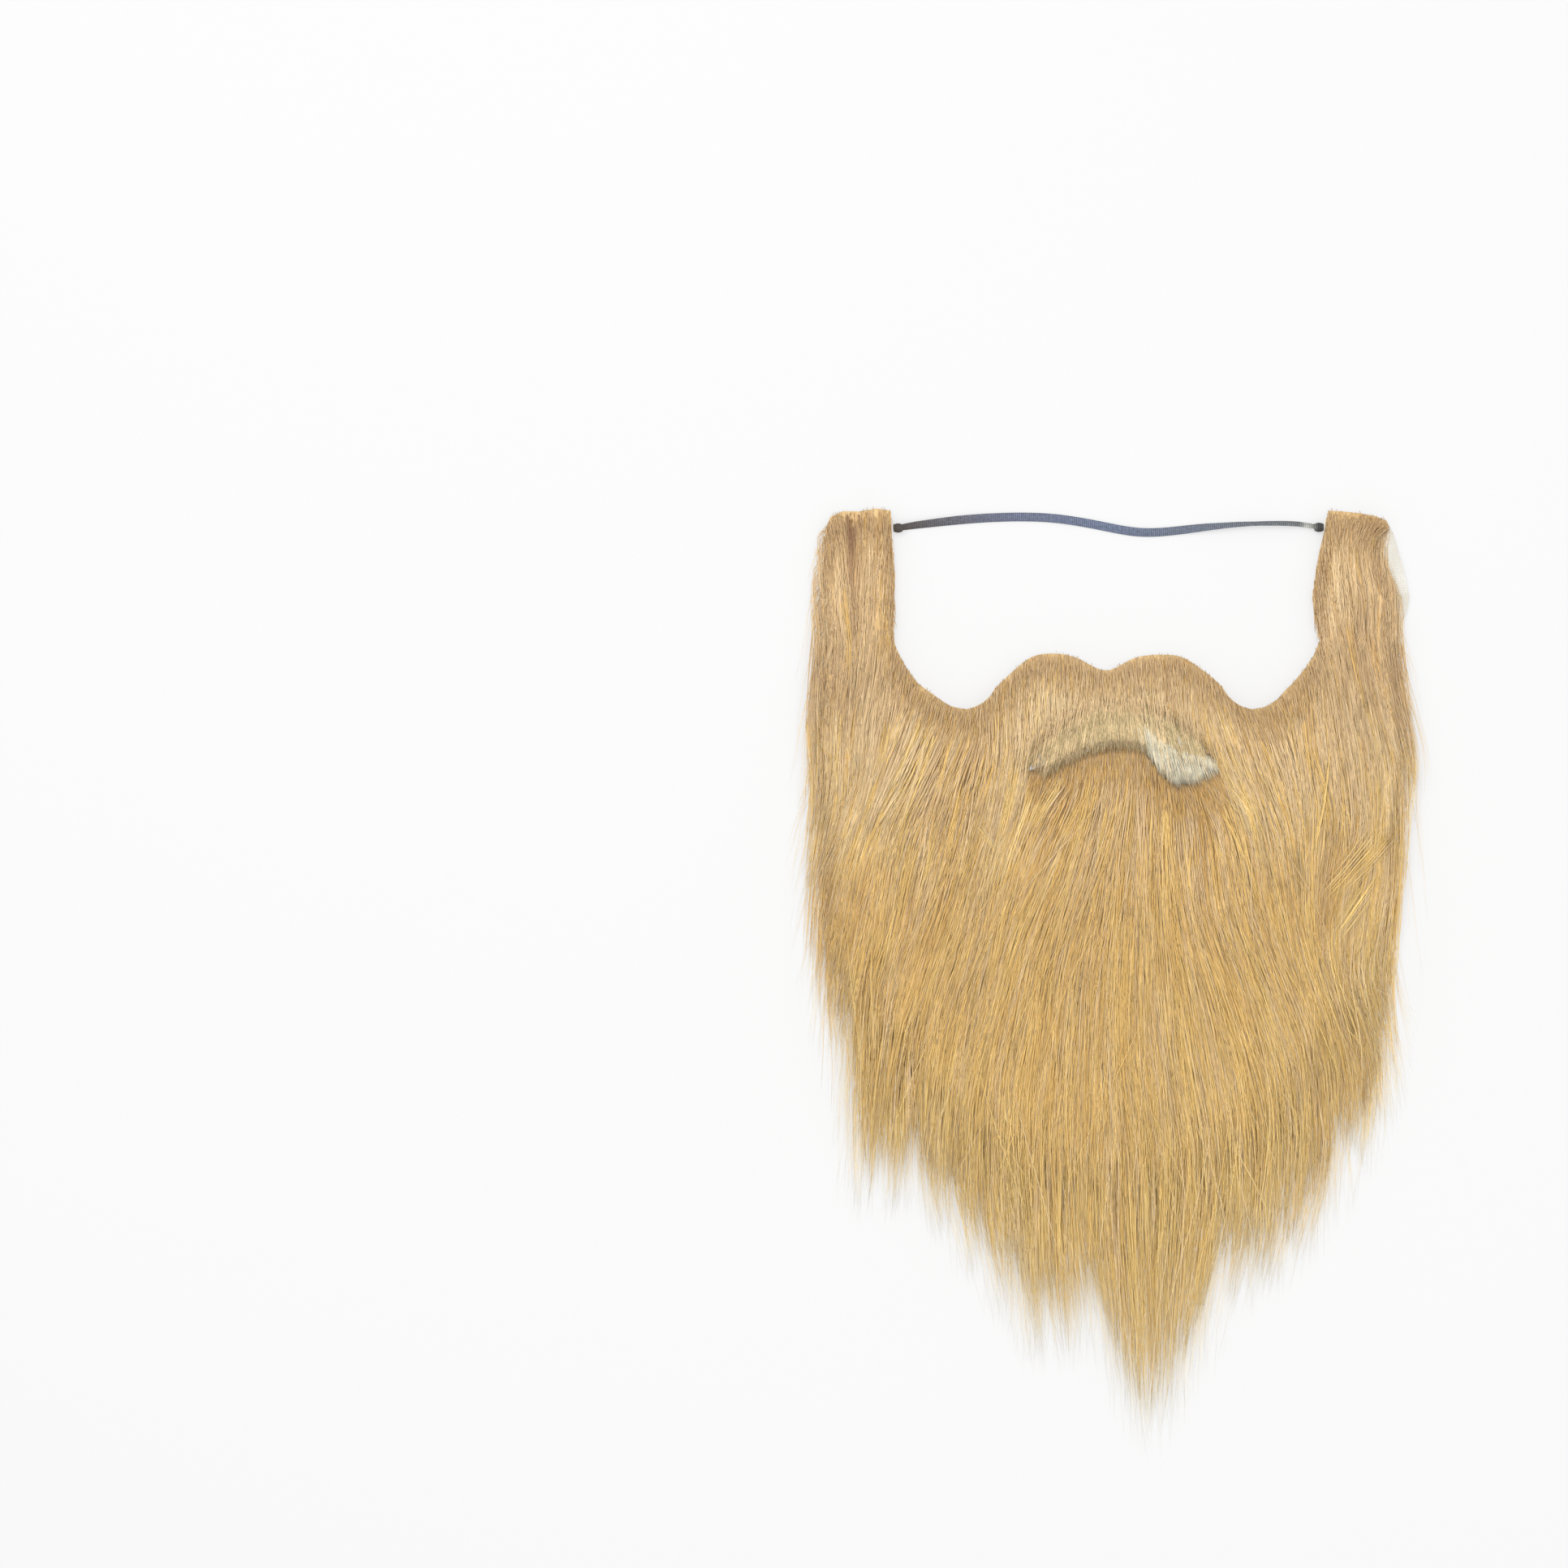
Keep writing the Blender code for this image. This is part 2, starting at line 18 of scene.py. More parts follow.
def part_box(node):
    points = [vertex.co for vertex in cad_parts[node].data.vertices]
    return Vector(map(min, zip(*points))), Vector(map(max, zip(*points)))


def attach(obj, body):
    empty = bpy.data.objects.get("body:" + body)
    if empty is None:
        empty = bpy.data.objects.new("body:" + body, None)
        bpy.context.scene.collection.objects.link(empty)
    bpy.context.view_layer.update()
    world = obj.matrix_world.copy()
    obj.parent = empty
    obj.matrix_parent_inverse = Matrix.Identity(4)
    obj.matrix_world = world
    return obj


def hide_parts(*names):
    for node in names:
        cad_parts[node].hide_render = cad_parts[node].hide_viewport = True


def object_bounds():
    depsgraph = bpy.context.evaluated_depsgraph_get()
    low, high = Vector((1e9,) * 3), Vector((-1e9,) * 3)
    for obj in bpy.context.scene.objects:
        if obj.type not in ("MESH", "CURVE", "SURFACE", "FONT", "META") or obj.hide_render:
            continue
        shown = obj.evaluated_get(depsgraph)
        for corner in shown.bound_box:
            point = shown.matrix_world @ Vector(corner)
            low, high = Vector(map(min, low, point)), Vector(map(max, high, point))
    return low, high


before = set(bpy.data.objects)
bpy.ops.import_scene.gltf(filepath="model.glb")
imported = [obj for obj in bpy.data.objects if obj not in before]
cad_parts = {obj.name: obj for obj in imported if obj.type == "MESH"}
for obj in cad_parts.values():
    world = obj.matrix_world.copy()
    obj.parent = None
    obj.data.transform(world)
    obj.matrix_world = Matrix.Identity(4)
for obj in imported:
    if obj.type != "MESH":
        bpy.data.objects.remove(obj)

CAD_BOX = [list(corner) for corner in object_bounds()]

MM = 0.001
SEED = 4

# The photograph's view, straight down on the floor
VIEW_CENTRE = (-148 * MM, -40 * MM)
VIEW_WIDTH = 714.8 * MM
LENS = 150.0
SENSOR = 36.0

# Grid on which heights and outlines are read from the frame
CELL = 1.5 * MM
GRID_MARGIN = 36 * MM
FUR_NODES = ["sideburn_fur_left", "sideburn_fur_right", "moustache_fur", "beard_fur"]
MOUTH_BOX = [(-42 * MM, -44 * MM), (54 * MM, -4 * MM)]

# The opening in the hair at the mouth, wider than the slit in the cloth. Places are in mm.
Mouth = namedtuple("Mouth", "x top bottom")
MOUTH = [
    Mouth(-37, -29, -30),
    Mouth(-30, -21, -36),
    Mouth(-20, -13, -30),
    Mouth(-11, -7, -25.5),
    Mouth(-2, -4.5, -23),
    Mouth(6, -5, -22.5),
    Mouth(17, -6, -24),
    Mouth(21, -7.5, -31),
    Mouth(27, -10.5, -38),
    Mouth(32, -14, -40),
    Mouth(39, -19, -38.5),
    Mouth(45, -25, -36),
    Mouth(49, -31, -33),
]
MOUTH_HOLLOW = 0.42  # how much lower the pile stands round it

# Notches beside the moustache, worn round: edges within the radius of a centre are pushed out to it. In mm.
Notch = namedtuple("Notch", "x y radius push band")
NOTCHES = [
    Notch(-66, 9.5, 15.4, 2.8, 3.2),
    Notch(66, 9.5, 15.4, 2.8, 3.2),
]

# How far the sides settle outwards by height, and how much further the bare edge of the cloth beside the
# right sideburn is stretched, in mm
Flare = namedtuple("Flare", "y left right cloth")
FLARES = [
    Flare(-80, 0, 0, 0),
    Flare(-46, -3.6, -2.0, 0),
    Flare(-28, -2.6, -1.0, 0),
    Flare(-10, -0.6, -1.5, 0),
    Flare(7, 0, -1.3, 0),
    Flare(25, 0.4, -0.8, 2),
    Flare(36, 2.0, 0.4, 6),
    Flare(43, 3.2, 1.7, 8),
    Flare(52, 4.4, 1.5, 9),
    Flare(61, 5.4, 0.2, 10.5),
    Flare(70, 6.4, 1.0, 9),
    Flare(76, 7.8, 4.4, 5),
    Flare(81, 8.4, 8.6, 0),
    Flare(85, 8.0, 8.0, 0),
]
FLARE_BAND = (98, 118)

# How far the sideburns' upper edge stands above its line after that, in mm, from x to x
Crest = namedtuple("Crest", "x rise")
CRESTS = [
    Crest(-128, -3.5),
    Crest(-124, -0.8),
    Crest(-120, 0.2),
    Crest(-116, -0.9),
    Crest(-110, 0.9),
    Crest(-104, 1.3),
    Crest(-100, 0.5),
    Crest(-98, -0.8),
    Crest(98, -0.6),
    Crest(101, 0.5),
    Crest(108, -0.4),
    Crest(116, -1.2),
    Crest(124, -2.8),
    Crest(129, -6.0),
]
CREST_BAND = (70, 84.5)

# Lean of the combed hair: degrees from straight down towards the hem, positive towards +X. Places are in mm.
Comb = namedtuple("Comb", "x y lean")
COMBS = [
    Comb(*row)
    for row in [
        (-123, 75, 0), (-123, 56, -4), (-112, 30, -3), (-116, 7, -9), (-105, 1, -12), (-128, -28, -4),
        (-130, -55, -8), (-85, -22, -22), (-71, -24, -26), (-97, -40, -30), (-50, -15, 8),
        (-60, -41, -12), (-46, -30, -10), (-117, -95, -14), (-104, -90, -10), (-73, -80, -14),
        (-23, -51, -32), (-28, -91, -21), (-39, -104, -23), (-72, -116, -19), (-95, -128, -20),
        (-122, -112, -11), (-53, -110, -9), (-52, -152, -15), (-111, -142, -5), (-78, -182, -4),
        (-31, -155, -8), (-14, -160, -4), (-9, -52, -10), (-2, -22, -6), (12, -34, 0), (26, -64, 1),
        (39, -78, 8), (-30, 2, -2), (-30, 14, -4), (25, 11, 3), (-3, 0, 0), (54, -42, 28), (62, -24, 18),
        (65, -53, 17), (55, -114, 20), (73, -130, 20), (88, -129, 15), (110, -141, 20), (78, -159, 19),
        (20, -169, 10), (-3, -151, 0), (72, -75, 9), (71, -14, 18), (91, -3, 6), (101, -6, 11),
        (105, -41, 11), (112, 70, 4), (110, 40, 7), (121, 16, 12), (128, -4, 15), (107, -65, -12),
        (108, -82, -14), (116, -107, -8), (132, -75, -5), (66, -182, 9), (97, -178, 2), (82, -214, -3),
        (-50, -208, 0), (-53, -237, 9), (-27, -237, 2), (-108, -212, -2), (4, -267, 7), (33, -256, -3),
        (45, -267, -9), (18, -310, 1),
    ]
]
COMB_REACH = 13 * MM

# By height on the face, hem first: natural length of the hair in mm, share of ashen hairs, change of tone,
# share of thin hairs that reach out past the rest, and how densely the hair grows
Growth = namedtuple("Growth", "y length ashen tone fringe dense")
GROWTHS = [
    Growth(-215, 140, 0.18, 0.05, 0.40, 1.0),
    Growth(-180, 136, 0.18, 0.04, 0.38, 1.0),
    Growth(-130, 112, 0.20, -0.02, 0.28, 0.92),
    Growth(-60, 84, 0.26, -0.08, 0.16, 0.75),
    Growth(0, 62, 0.80, -0.03, 0.12, 0.75),
    Growth(18, 60, 0.92, -0.05, 0.13, 0.78),
    Growth(34, 58, 0.92, -0.14, 0.14, 0.80),
    Growth(85, 52, 0.92, -0.16, 0.14, 0.80),
]

# How far inside the outline the dense hair ends at the hem, in mm, from x to x
Trim = namedtuple("Trim", "x short")
TRIMS = [
    Trim(-135, 4),
    Trim(-110, 9),
    Trim(-80, 11),
    Trim(-56, 11),
    Trim(-45, 10),
    Trim(-15, 9),
    Trim(2, 8),
    Trim(8, 3),
    Trim(35, 3),
    Trim(42, 6),
    Trim(90, 5),
    Trim(125, 3),
]
LONGEST = 150 * MM
PATH_STEP = 3 * MM

# Hairs: spacings of their roots and of the bundles that they gather in
ROOT_SPACING = 1.44 * MM
WISP_SPACING = 3.4 * MM
LOCK_SPACING = 13 * MM
PULL_LEVELS = (-190 * MM, -60 * MM)  # heights of the hem and the cheeks, at which the pulls are given
WISP_PULL = (0.48, 0.35)
LOCK_PULL = (0.32, 0.20)
LEAN_SCATTER = 2.4
STRAY_SHARE = 0.006
STRAY_LEAN = 17.0
WAVE_HEIGHT = 0.3 * MM
WAVE_LENGTH = 90 * MM
HOLD = 0.45  # how strongly the outline turns the hair that would leave it
OVERHANG_REACH = 10.5 * MM
LOCK_REACH = 2.6 * MM  # how far past the outline hair may end, as a spread for each lock, wisp and hair
WISP_REACH = 2.8 * MM
HAIR_REACH = 4.0 * MM
FRINGE_REACH = (2 * MM, 15 * MM)
HEM_REACH = 6 * MM  # how much further it goes at the hem
FRINGE_HOLD = 0.1
FRINGE_LEAN = 6.0
FRINGE_THIN = 0.6  # their thickness as a share of the others'
FRINGE_PALER = 0.45  # how much paler their tips are than their roots
SHORTEST = 6 * MM
OPENING_REACH = (-4 * MM, 3.5 * MM)  # how far past the opening's edge hair may end
WISP_COHESION = 0.7  # share of hairs that take their wisp's hue
THIN, THICK = 0.11 * MM, 0.21 * MM
RISE = 9 * MM
CLOTH_TOP = 1.6 * MM
FLOOR_LIFT = 0.35 * MM
MAT_SHARE = 0.78  # height of the dense short pile as a share of the whole
RINGS = 5

# Short pile along the cloth's free edges, and over the first stretch of the comb
EDGE_SPACING = 0.95 * MM
EDGE_BAND = 5.0 * MM
EDGE_RINGS = 3
EDGE_LENGTH = (3.2 * MM, 6.0 * MM)
EDGE_OUT = (0.5 * MM, 2.2 * MM)
EDGE_TONE = (0.43, 0.05)
FIRST_STRETCH = (3 * MM, 7 * MM, 11 * MM)
TOP_STRETCH = (4 * MM, 8 * MM, 12 * MM, 16 * MM, 20 * MM)
FIRST_LENGTH = (7 * MM, 14 * MM)
FIRST_OUT = (0.2 * MM, 1.0 * MM)
FIRST_BACK = (0.0, 1.4 * MM)

# Long close wisps that lie along the comb on top of the hair
LAID_SPACING = 12 * MM
LAID_HAIRS = 8
LAID_WIDTH = (0.5 * MM, 1.7 * MM)
LAID_LENGTH = (35 * MM, 85 * MM)
LAID_SHORTEST = 18 * MM
LAID_LEAN = 5.0
LAID_TONE = (0.53, 0.05)
LAID_LOW = 0.8  # their height at the hem as a share of the pile's top

# Fine pale hair that veils the opening from above, paler towards its right end. Its pale tone is partly painted
# light, in place of the bright floor seen through thin hair, which lies in shade here. start and end are shares
# of the opening's height, from its upper edge. pale is the share of pale hairs: the others match the moustache.
Veil = namedtuple("Veil", "x_low x_high hairs tone start end pale")
VEILS = [
    Veil(-39, -12, 520, 0.14, 0.0, 1.0, 0.55),
    Veil(-14, 18, 700, 0.28, 0.0, 1.0, 0.65),
    Veil(12, 45, 400, 0.36, 0.0, 0.6, 0.65),
    Veil(15, 50.5, 420, 0.80, 0.4, 1.0, 0.92),
]
VEIL_PAST = (-1.0 * MM, 3.5 * MM)  # how far it ends past the opening's lower edge
VEIL_ABOVE = (3 * MM, 9 * MM)  # how far above the upper edge its pale hairs and its others start, at most
VEIL_RESTS = (1.6 * MM, 3.6 * MM)  # height of its tips over the pile's mat

# Wisps that lie across the comb on top of the hair: start in mm, lean and bend in degrees, sizes in mm
Crossing = namedtuple("Crossing", "x y lean bend length spread hairs")
CROSSINGS = [
    Crossing(127, -60, -42, -4, 46, 5.0, 34),
    Crossing(122, -78, -34, -2, 40, 4.0, 24),
    Crossing(53, -40, 42, -16, 22, 2.0, 12),
    Crossing(-61, -59, 44, -10, 17, 1.4, 7),
    Crossing(-92, -39, -38, 8, 26, 2.4, 14),
    Crossing(-20, -36, -36, 10, 28, 2.4, 14),
]
CROSSING_TONE = (0.56, 0.07)

# Streaks darker or paler than the hair around them, along a line in mm. Several are painted shade and painted
# light that even out how the light falls on the pile: painted shade along the parting at the left and on the
# sideburns' well-lit middles, painted light on the sideburns' upper parts, down the right side where the pile
# slopes into shade, and on the moustache over the hollow round the opening.
Streak = namedtuple("Streak", "x0 y0 x1 y1 width tone")
STREAKS_AND_PAINTED_SHADING = [
    # painted shade along the parting at the left
    Streak(-110.5, 86, -112.5, 73, 1.7, -0.40),
    Streak(-112.5, 73, -115, 63, 1.5, -0.20),
    Streak(118, 64, 124, 10, 14, -0.03),
    # painted light where the pile slopes down into shade at the right side
    Streak(131, -14, 132, -62, 6, 0.12),
    Streak(120, -66, 120, -125, 9, 0.09),
    Streak(1, -196, 1, -214, 2.2, -0.22),
    Streak(26, 12, 28, 4, 3.5, -0.14),
    Streak(-7, -44, -8, -63, 1.6, -0.20),
    # painted light on the right sideburn's upper part, and painted shade on its well-lit middle
    Streak(100, 74, 124, 71, 6.0, 0.12),
    Streak(112, 54, 114, 30, 8.0, -0.10),
    # painted light on the left sideburn's upper part, and painted shade on its well-lit middle
    Streak(-104, 76, -126, 74, 5.0, 0.06),
    Streak(-119, 52, -119, 30, 6.0, -0.06),
    # painted light on the moustache, over the shade of the hollow round the opening
    Streak(-28, 8, 30, 8, 7.0, 0.06),
]

# The elastic's route between the knots, as it lies on the floor
ELASTIC_ROUTE = [
    (-0.0952, 0.0767), (-0.0935, 0.0770), (-0.0903, 0.0777), (-0.0836, 0.0785), (-0.0770, 0.0793),
    (-0.0703, 0.0801), (-0.0636, 0.0807), (-0.0570, 0.0812), (-0.0503, 0.0815), (-0.0437, 0.0817),
    (-0.0370, 0.0817), (-0.0303, 0.0815), (-0.0237, 0.0810), (-0.0170, 0.0801), (-0.0104, 0.0790),
    (-0.0037, 0.0777), (0.0030, 0.0763), (0.0096, 0.0751), (0.0163, 0.0745), (0.0229, 0.0747),
    (0.0296, 0.0753), (0.0363, 0.0761), (0.0429, 0.0769), (0.0496, 0.0775), (0.0562, 0.0781),
    (0.0629, 0.0785), (0.0696, 0.0787), (0.0762, 0.0788), (0.0829, 0.0787), (0.0895, 0.0782),
    (0.0930, 0.0774), (0.0948, 0.0770),
]
ELASTIC_WIDTH = 4.0 * MM
ELASTIC_THICKNESS = 0.9 * MM
ELASTIC_STEP = 0.5 * MM
ELASTIC_SMOOTH = 9  # steps to either side over which its kinks are smoothed
ELASTIC_RIBS = 5
KNOT_HEIGHT = 2.6 * MM

# How the elastic lies along its route: its turn in degrees and its width as a share. Places are X in mm.
Lay = namedtuple("Lay", "x turn width")
ELASTIC_LAYS = [
    Lay(-94, 30, 0.80),
    Lay(-88, 24, 0.90),
    Lay(-70, 10, 1.0),
    Lay(-20, -4, 1.0),
    Lay(10, 8, 1.0),
    Lay(35, -6, 0.95),
    Lay(52, -40, 0.9),
    Lay(66, -56, 0.85),
    Lay(82, -48, 0.85),
    Lay(93, -30, 0.62),
]

ELASTIC_SIDES = 24
ELASTIC_PICKS = 340.0
KNOT_TURNS = 7
KNOT_TURN_STEPS = 14
KNOT_THREAD = 0.36 * MM
KNOT_SECTIONS = 12

KNIT_WALES = 300.0
KNIT_COURSES = 380.0

# Which hairs make up a piece: the solid under their roots, and a box in mm for the large beard solid
Field = namedtuple("Field", "name node x_low x_high y_low")
FIELDS = [
    Field("sideburn_hair_left", "sideburn_fur_left", -400, 400, -400),
    Field("sideburn_hair_right", "sideburn_fur_right", -400, 400, -400),
    Field("moustache_hair", "moustache_fur", -400, 400, -400),
    Field("cheek_hair_left", "beard_fur", -400, -48, -122),
    Field("cheek_hair_right", "beard_fur", 48, 400, -122),
    Field("chin_hair", "beard_fur", -48, 48, -104),
    Field("hem_hair_left", "beard_fur", -400, -12, -400),
    Field("hem_hair_right", "beard_fur", -12, 400, -400),
]

# Colours, in sRGB, by place on a ramp. A hair's tone runs from dark to light, its length from root to tip; the
# length ramp is painted shade, darkest at the root where the pile shades it.
GOLDEN_TONES = [
    (0.02, (170, 126, 82)),
    (0.30, (228, 190, 118)),
    (0.50, (243, 212, 137)),
    (0.70, (250, 227, 159)),
    (0.98, (255, 243, 190)),
]
ASHEN_TONES = [
    (0.02, (170, 134, 102)),
    (0.30, (222, 194, 150)),
    (0.50, (235, 211, 168)),
    (0.70, (243, 224, 184)),
    (0.98, (251, 238, 208)),
]
# Pale veil tones, partly painted light in place of the bright floor seen through the thin hair
PAINTED_LIGHT_VEIL_TONES = [
    (0.02, (182, 161, 119)),
    (0.30, (194, 176, 133)),
    (0.50, (205, 190, 150)),
    (0.70, (214, 206, 177)),
    (0.98, (226, 223, 210)),
]
PALETTE = [GOLDEN_TONES, ASHEN_TONES, PAINTED_LIGHT_VEIL_TONES]
ASHEN_BAND = 1
VEIL_BAND = 2
# Painted shade along each hair: darker at the root, where the pile around it shades it, up to the hair's own
# colour at the tip
ROOT_SHADE_TONES = [
    (0.0, (212, 200, 186)),
    (0.25, (236, 229, 220)),
    (0.6, (250, 248, 245)),
    (1.0, (255, 255, 255)),
]
TONE_WIDTH = 0.004
MIX_A, MIX_B, MIX_RESULT = 6, 7, 2  # the Mix node's sockets for colours
ELASTIC_TONES = [
    (0.02, (84, 76, 68)),
    (0.10, (96, 94, 98)),
    (0.28, (106, 112, 132)),
    (0.50, (106, 117, 139)),
    (0.68, (106, 113, 127)),
    (0.84, (112, 117, 122)),
    (0.935, (112, 114, 114)),
    (0.950, (176, 176, 168)),
    (0.962, (160, 160, 152)),
    (0.975, (72, 72, 70)),
]

# Stage
FLOOR_ALBEDO = 0.25
FLOOR_GLOW = 0.54
ROOM_LIGHT = 1.2
Lamp = namedtuple("Lamp", "name x y z size energy")
LAMPS = [
    Lamp("softbox", -0.5, 0.7, 1.6, 1.0, 15.0),
    Lamp("fill", 0.7, -0.5, 1.8, 1.4, 8.0),
]

rng = np.random.default_rng(SEED)


class Grid:
    """Values at even steps over the beard, read in between."""

    def __init__(self, values, low):
        self.values = values
        self.low = low

    def at(self, points):
        place = (points - self.low) / CELL
        limit = np.array(self.values.shape) - 1.001
        place = np.clip(place, 0, limit)
        cell = place.astype(int)
        part = place - cell
        i, j = cell[..., 0], cell[..., 1]
        u, v = part[..., 0], part[..., 1]
        near = self.values[i, j] * (1 - u) + self.values[i + 1, j] * u
        far = self.values[i, j + 1] * (1 - u) + self.values[i + 1, j + 1] * u
        return near * (1 - v) + far * v


class Slopes:
    """The way out of a region, read from its blurred mask."""

    def __init__(self, mask, low):
        slope = np.stack(np.gradient(mask, CELL), -1)
        steep = np.linalg.norm(slope, axis=-1) + 1e-9
        self.x = Grid(-slope[..., 0] / steep, low)
        self.y = Grid(-slope[..., 1] / steep, low)

    def at(self, points):
        return np.stack([self.x.at(points), self.y.at(points)], -1)


def blur(values, reach):
    """Gaussian blur of a grid. reach is in metres."""
    half = int(3 * reach / CELL) + 1
    kernel = np.exp(-0.5 * (np.arange(-half, half + 1) * CELL / reach) ** 2)
    kernel /= kernel.sum()
    for axis in (0, 1):
        values = np.apply_along_axis(np.convolve, axis, values, kernel, "same")
    return values


def smoothstep(low, high, value):
    """0 at low and 1 at high, easing between them. low may lie above high."""
    t = np.clip((value - low) / (high - low), 0, 1)
    return t * t * (3 - 2 * t)


def unit(vectors):
    return vectors / np.maximum(np.linalg.norm(vectors, axis=-1, keepdims=True), 1e-9)


def column_of(rows, name):
    """A named column of a table, as an array."""
    return np.array([getattr(row, name) for row in rows])


def node_tree(names):
    """A search tree over CAD nodes, and for each of its faces the place of its node in names."""
    vertices, faces, owners = [], [], []
    for number, name in enumerate(names):
        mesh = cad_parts[name].data
        start = len(vertices)
        vertices += [v.co.copy() for v in mesh.vertices]
        faces += [[start + i for i in p.vertices] for p in mesh.polygons]
        owners += [number] * len(mesh.polygons)
    return BVHTree.FromPolygons(vertices, faces), owners


def drop_on(tree, points):
    """Height and face that a fall from above meets at each (x, y), or 0 and -1."""
    heights, faces = np.zeros(len(points)), np.full(len(points), -1)
    down = Vector((0, 0, -1))
    for i, (x, y) in enumerate(points):
        place, _, face, _ = tree.ray_cast(Vector((x, y, 1.0)), down)
        if place is not None:
            heights[i], faces[i] = place.z, face
    return heights, faces


def mouth_edges(x):
    """Upper and lower edge of the opening at each x."""
    xs = column_of(MOUTH, "x") * MM
    return [np.interp(x, xs, column_of(MOUTH, edge) * MM) for edge in ("top", "bottom")]


def in_opening(points):
    """Whether points lie in the opening that the hair leaves at the mouth."""
    x, y = points[..., 0], points[..., 1]
    top, bottom = mouth_edges(x)
    return (x > MOUTH[0].x * MM) & (x < MOUTH[-1].x * MM) & (y < top) & (y > bottom)


def settled(points):
    """Points in plan, moved as the soft edges settle, in the notches, at the sides and on the crests."""
    points = points.copy()
    for notch in NOTCHES:
        centre = np.array([notch.x, notch.y]) * MM
        apart = np.linalg.norm(points - centre, axis=-1) / MM
        push = notch.push * MM * np.clip((notch.radius - apart) / notch.band, 0, 1)
        points += unit(points - centre) * push[..., None]
    for side, name in ((-1, "left"), (1, "right")):
        points[..., 0] += side * flare(points, side, name)
    rises = np.interp(points[..., 0] / MM, column_of(CRESTS, "x"), column_of(CRESTS, "rise"))
    points[..., 1] += rises * MM * smoothstep(*CREST_BAND, points[..., 1] / MM)
    return points


def flare(points, side, name):
    """How far a column of the flare table moves points outwards on one side."""
    out = np.interp(points[..., 1] / MM, column_of(FLARES, "y"), column_of(FLARES, name))
    return out * MM * smoothstep(*FLARE_BAND, points[..., 0] * side / MM)


def signed_distance(mask, points):
    """Distance of each point outside a region, less than zero inside it."""
    inside = mask > 0.5
    deep = inside.copy()
    for axis in (0, 1):
        for step in (-1, 1):
            deep &= np.roll(inside, step, axis)
    border = points[inside & ~deep]
    tree = KDTree(len(border))
    for i, (x, y) in enumerate(border):
        tree.insert((x, y, 0), i)
    tree.balance()
    apart = np.array([tree.find((x, y, 0))[2] for x, y in points.reshape(-1, 2)]).reshape(mask.shape)
    return np.where(inside, -apart, apart)


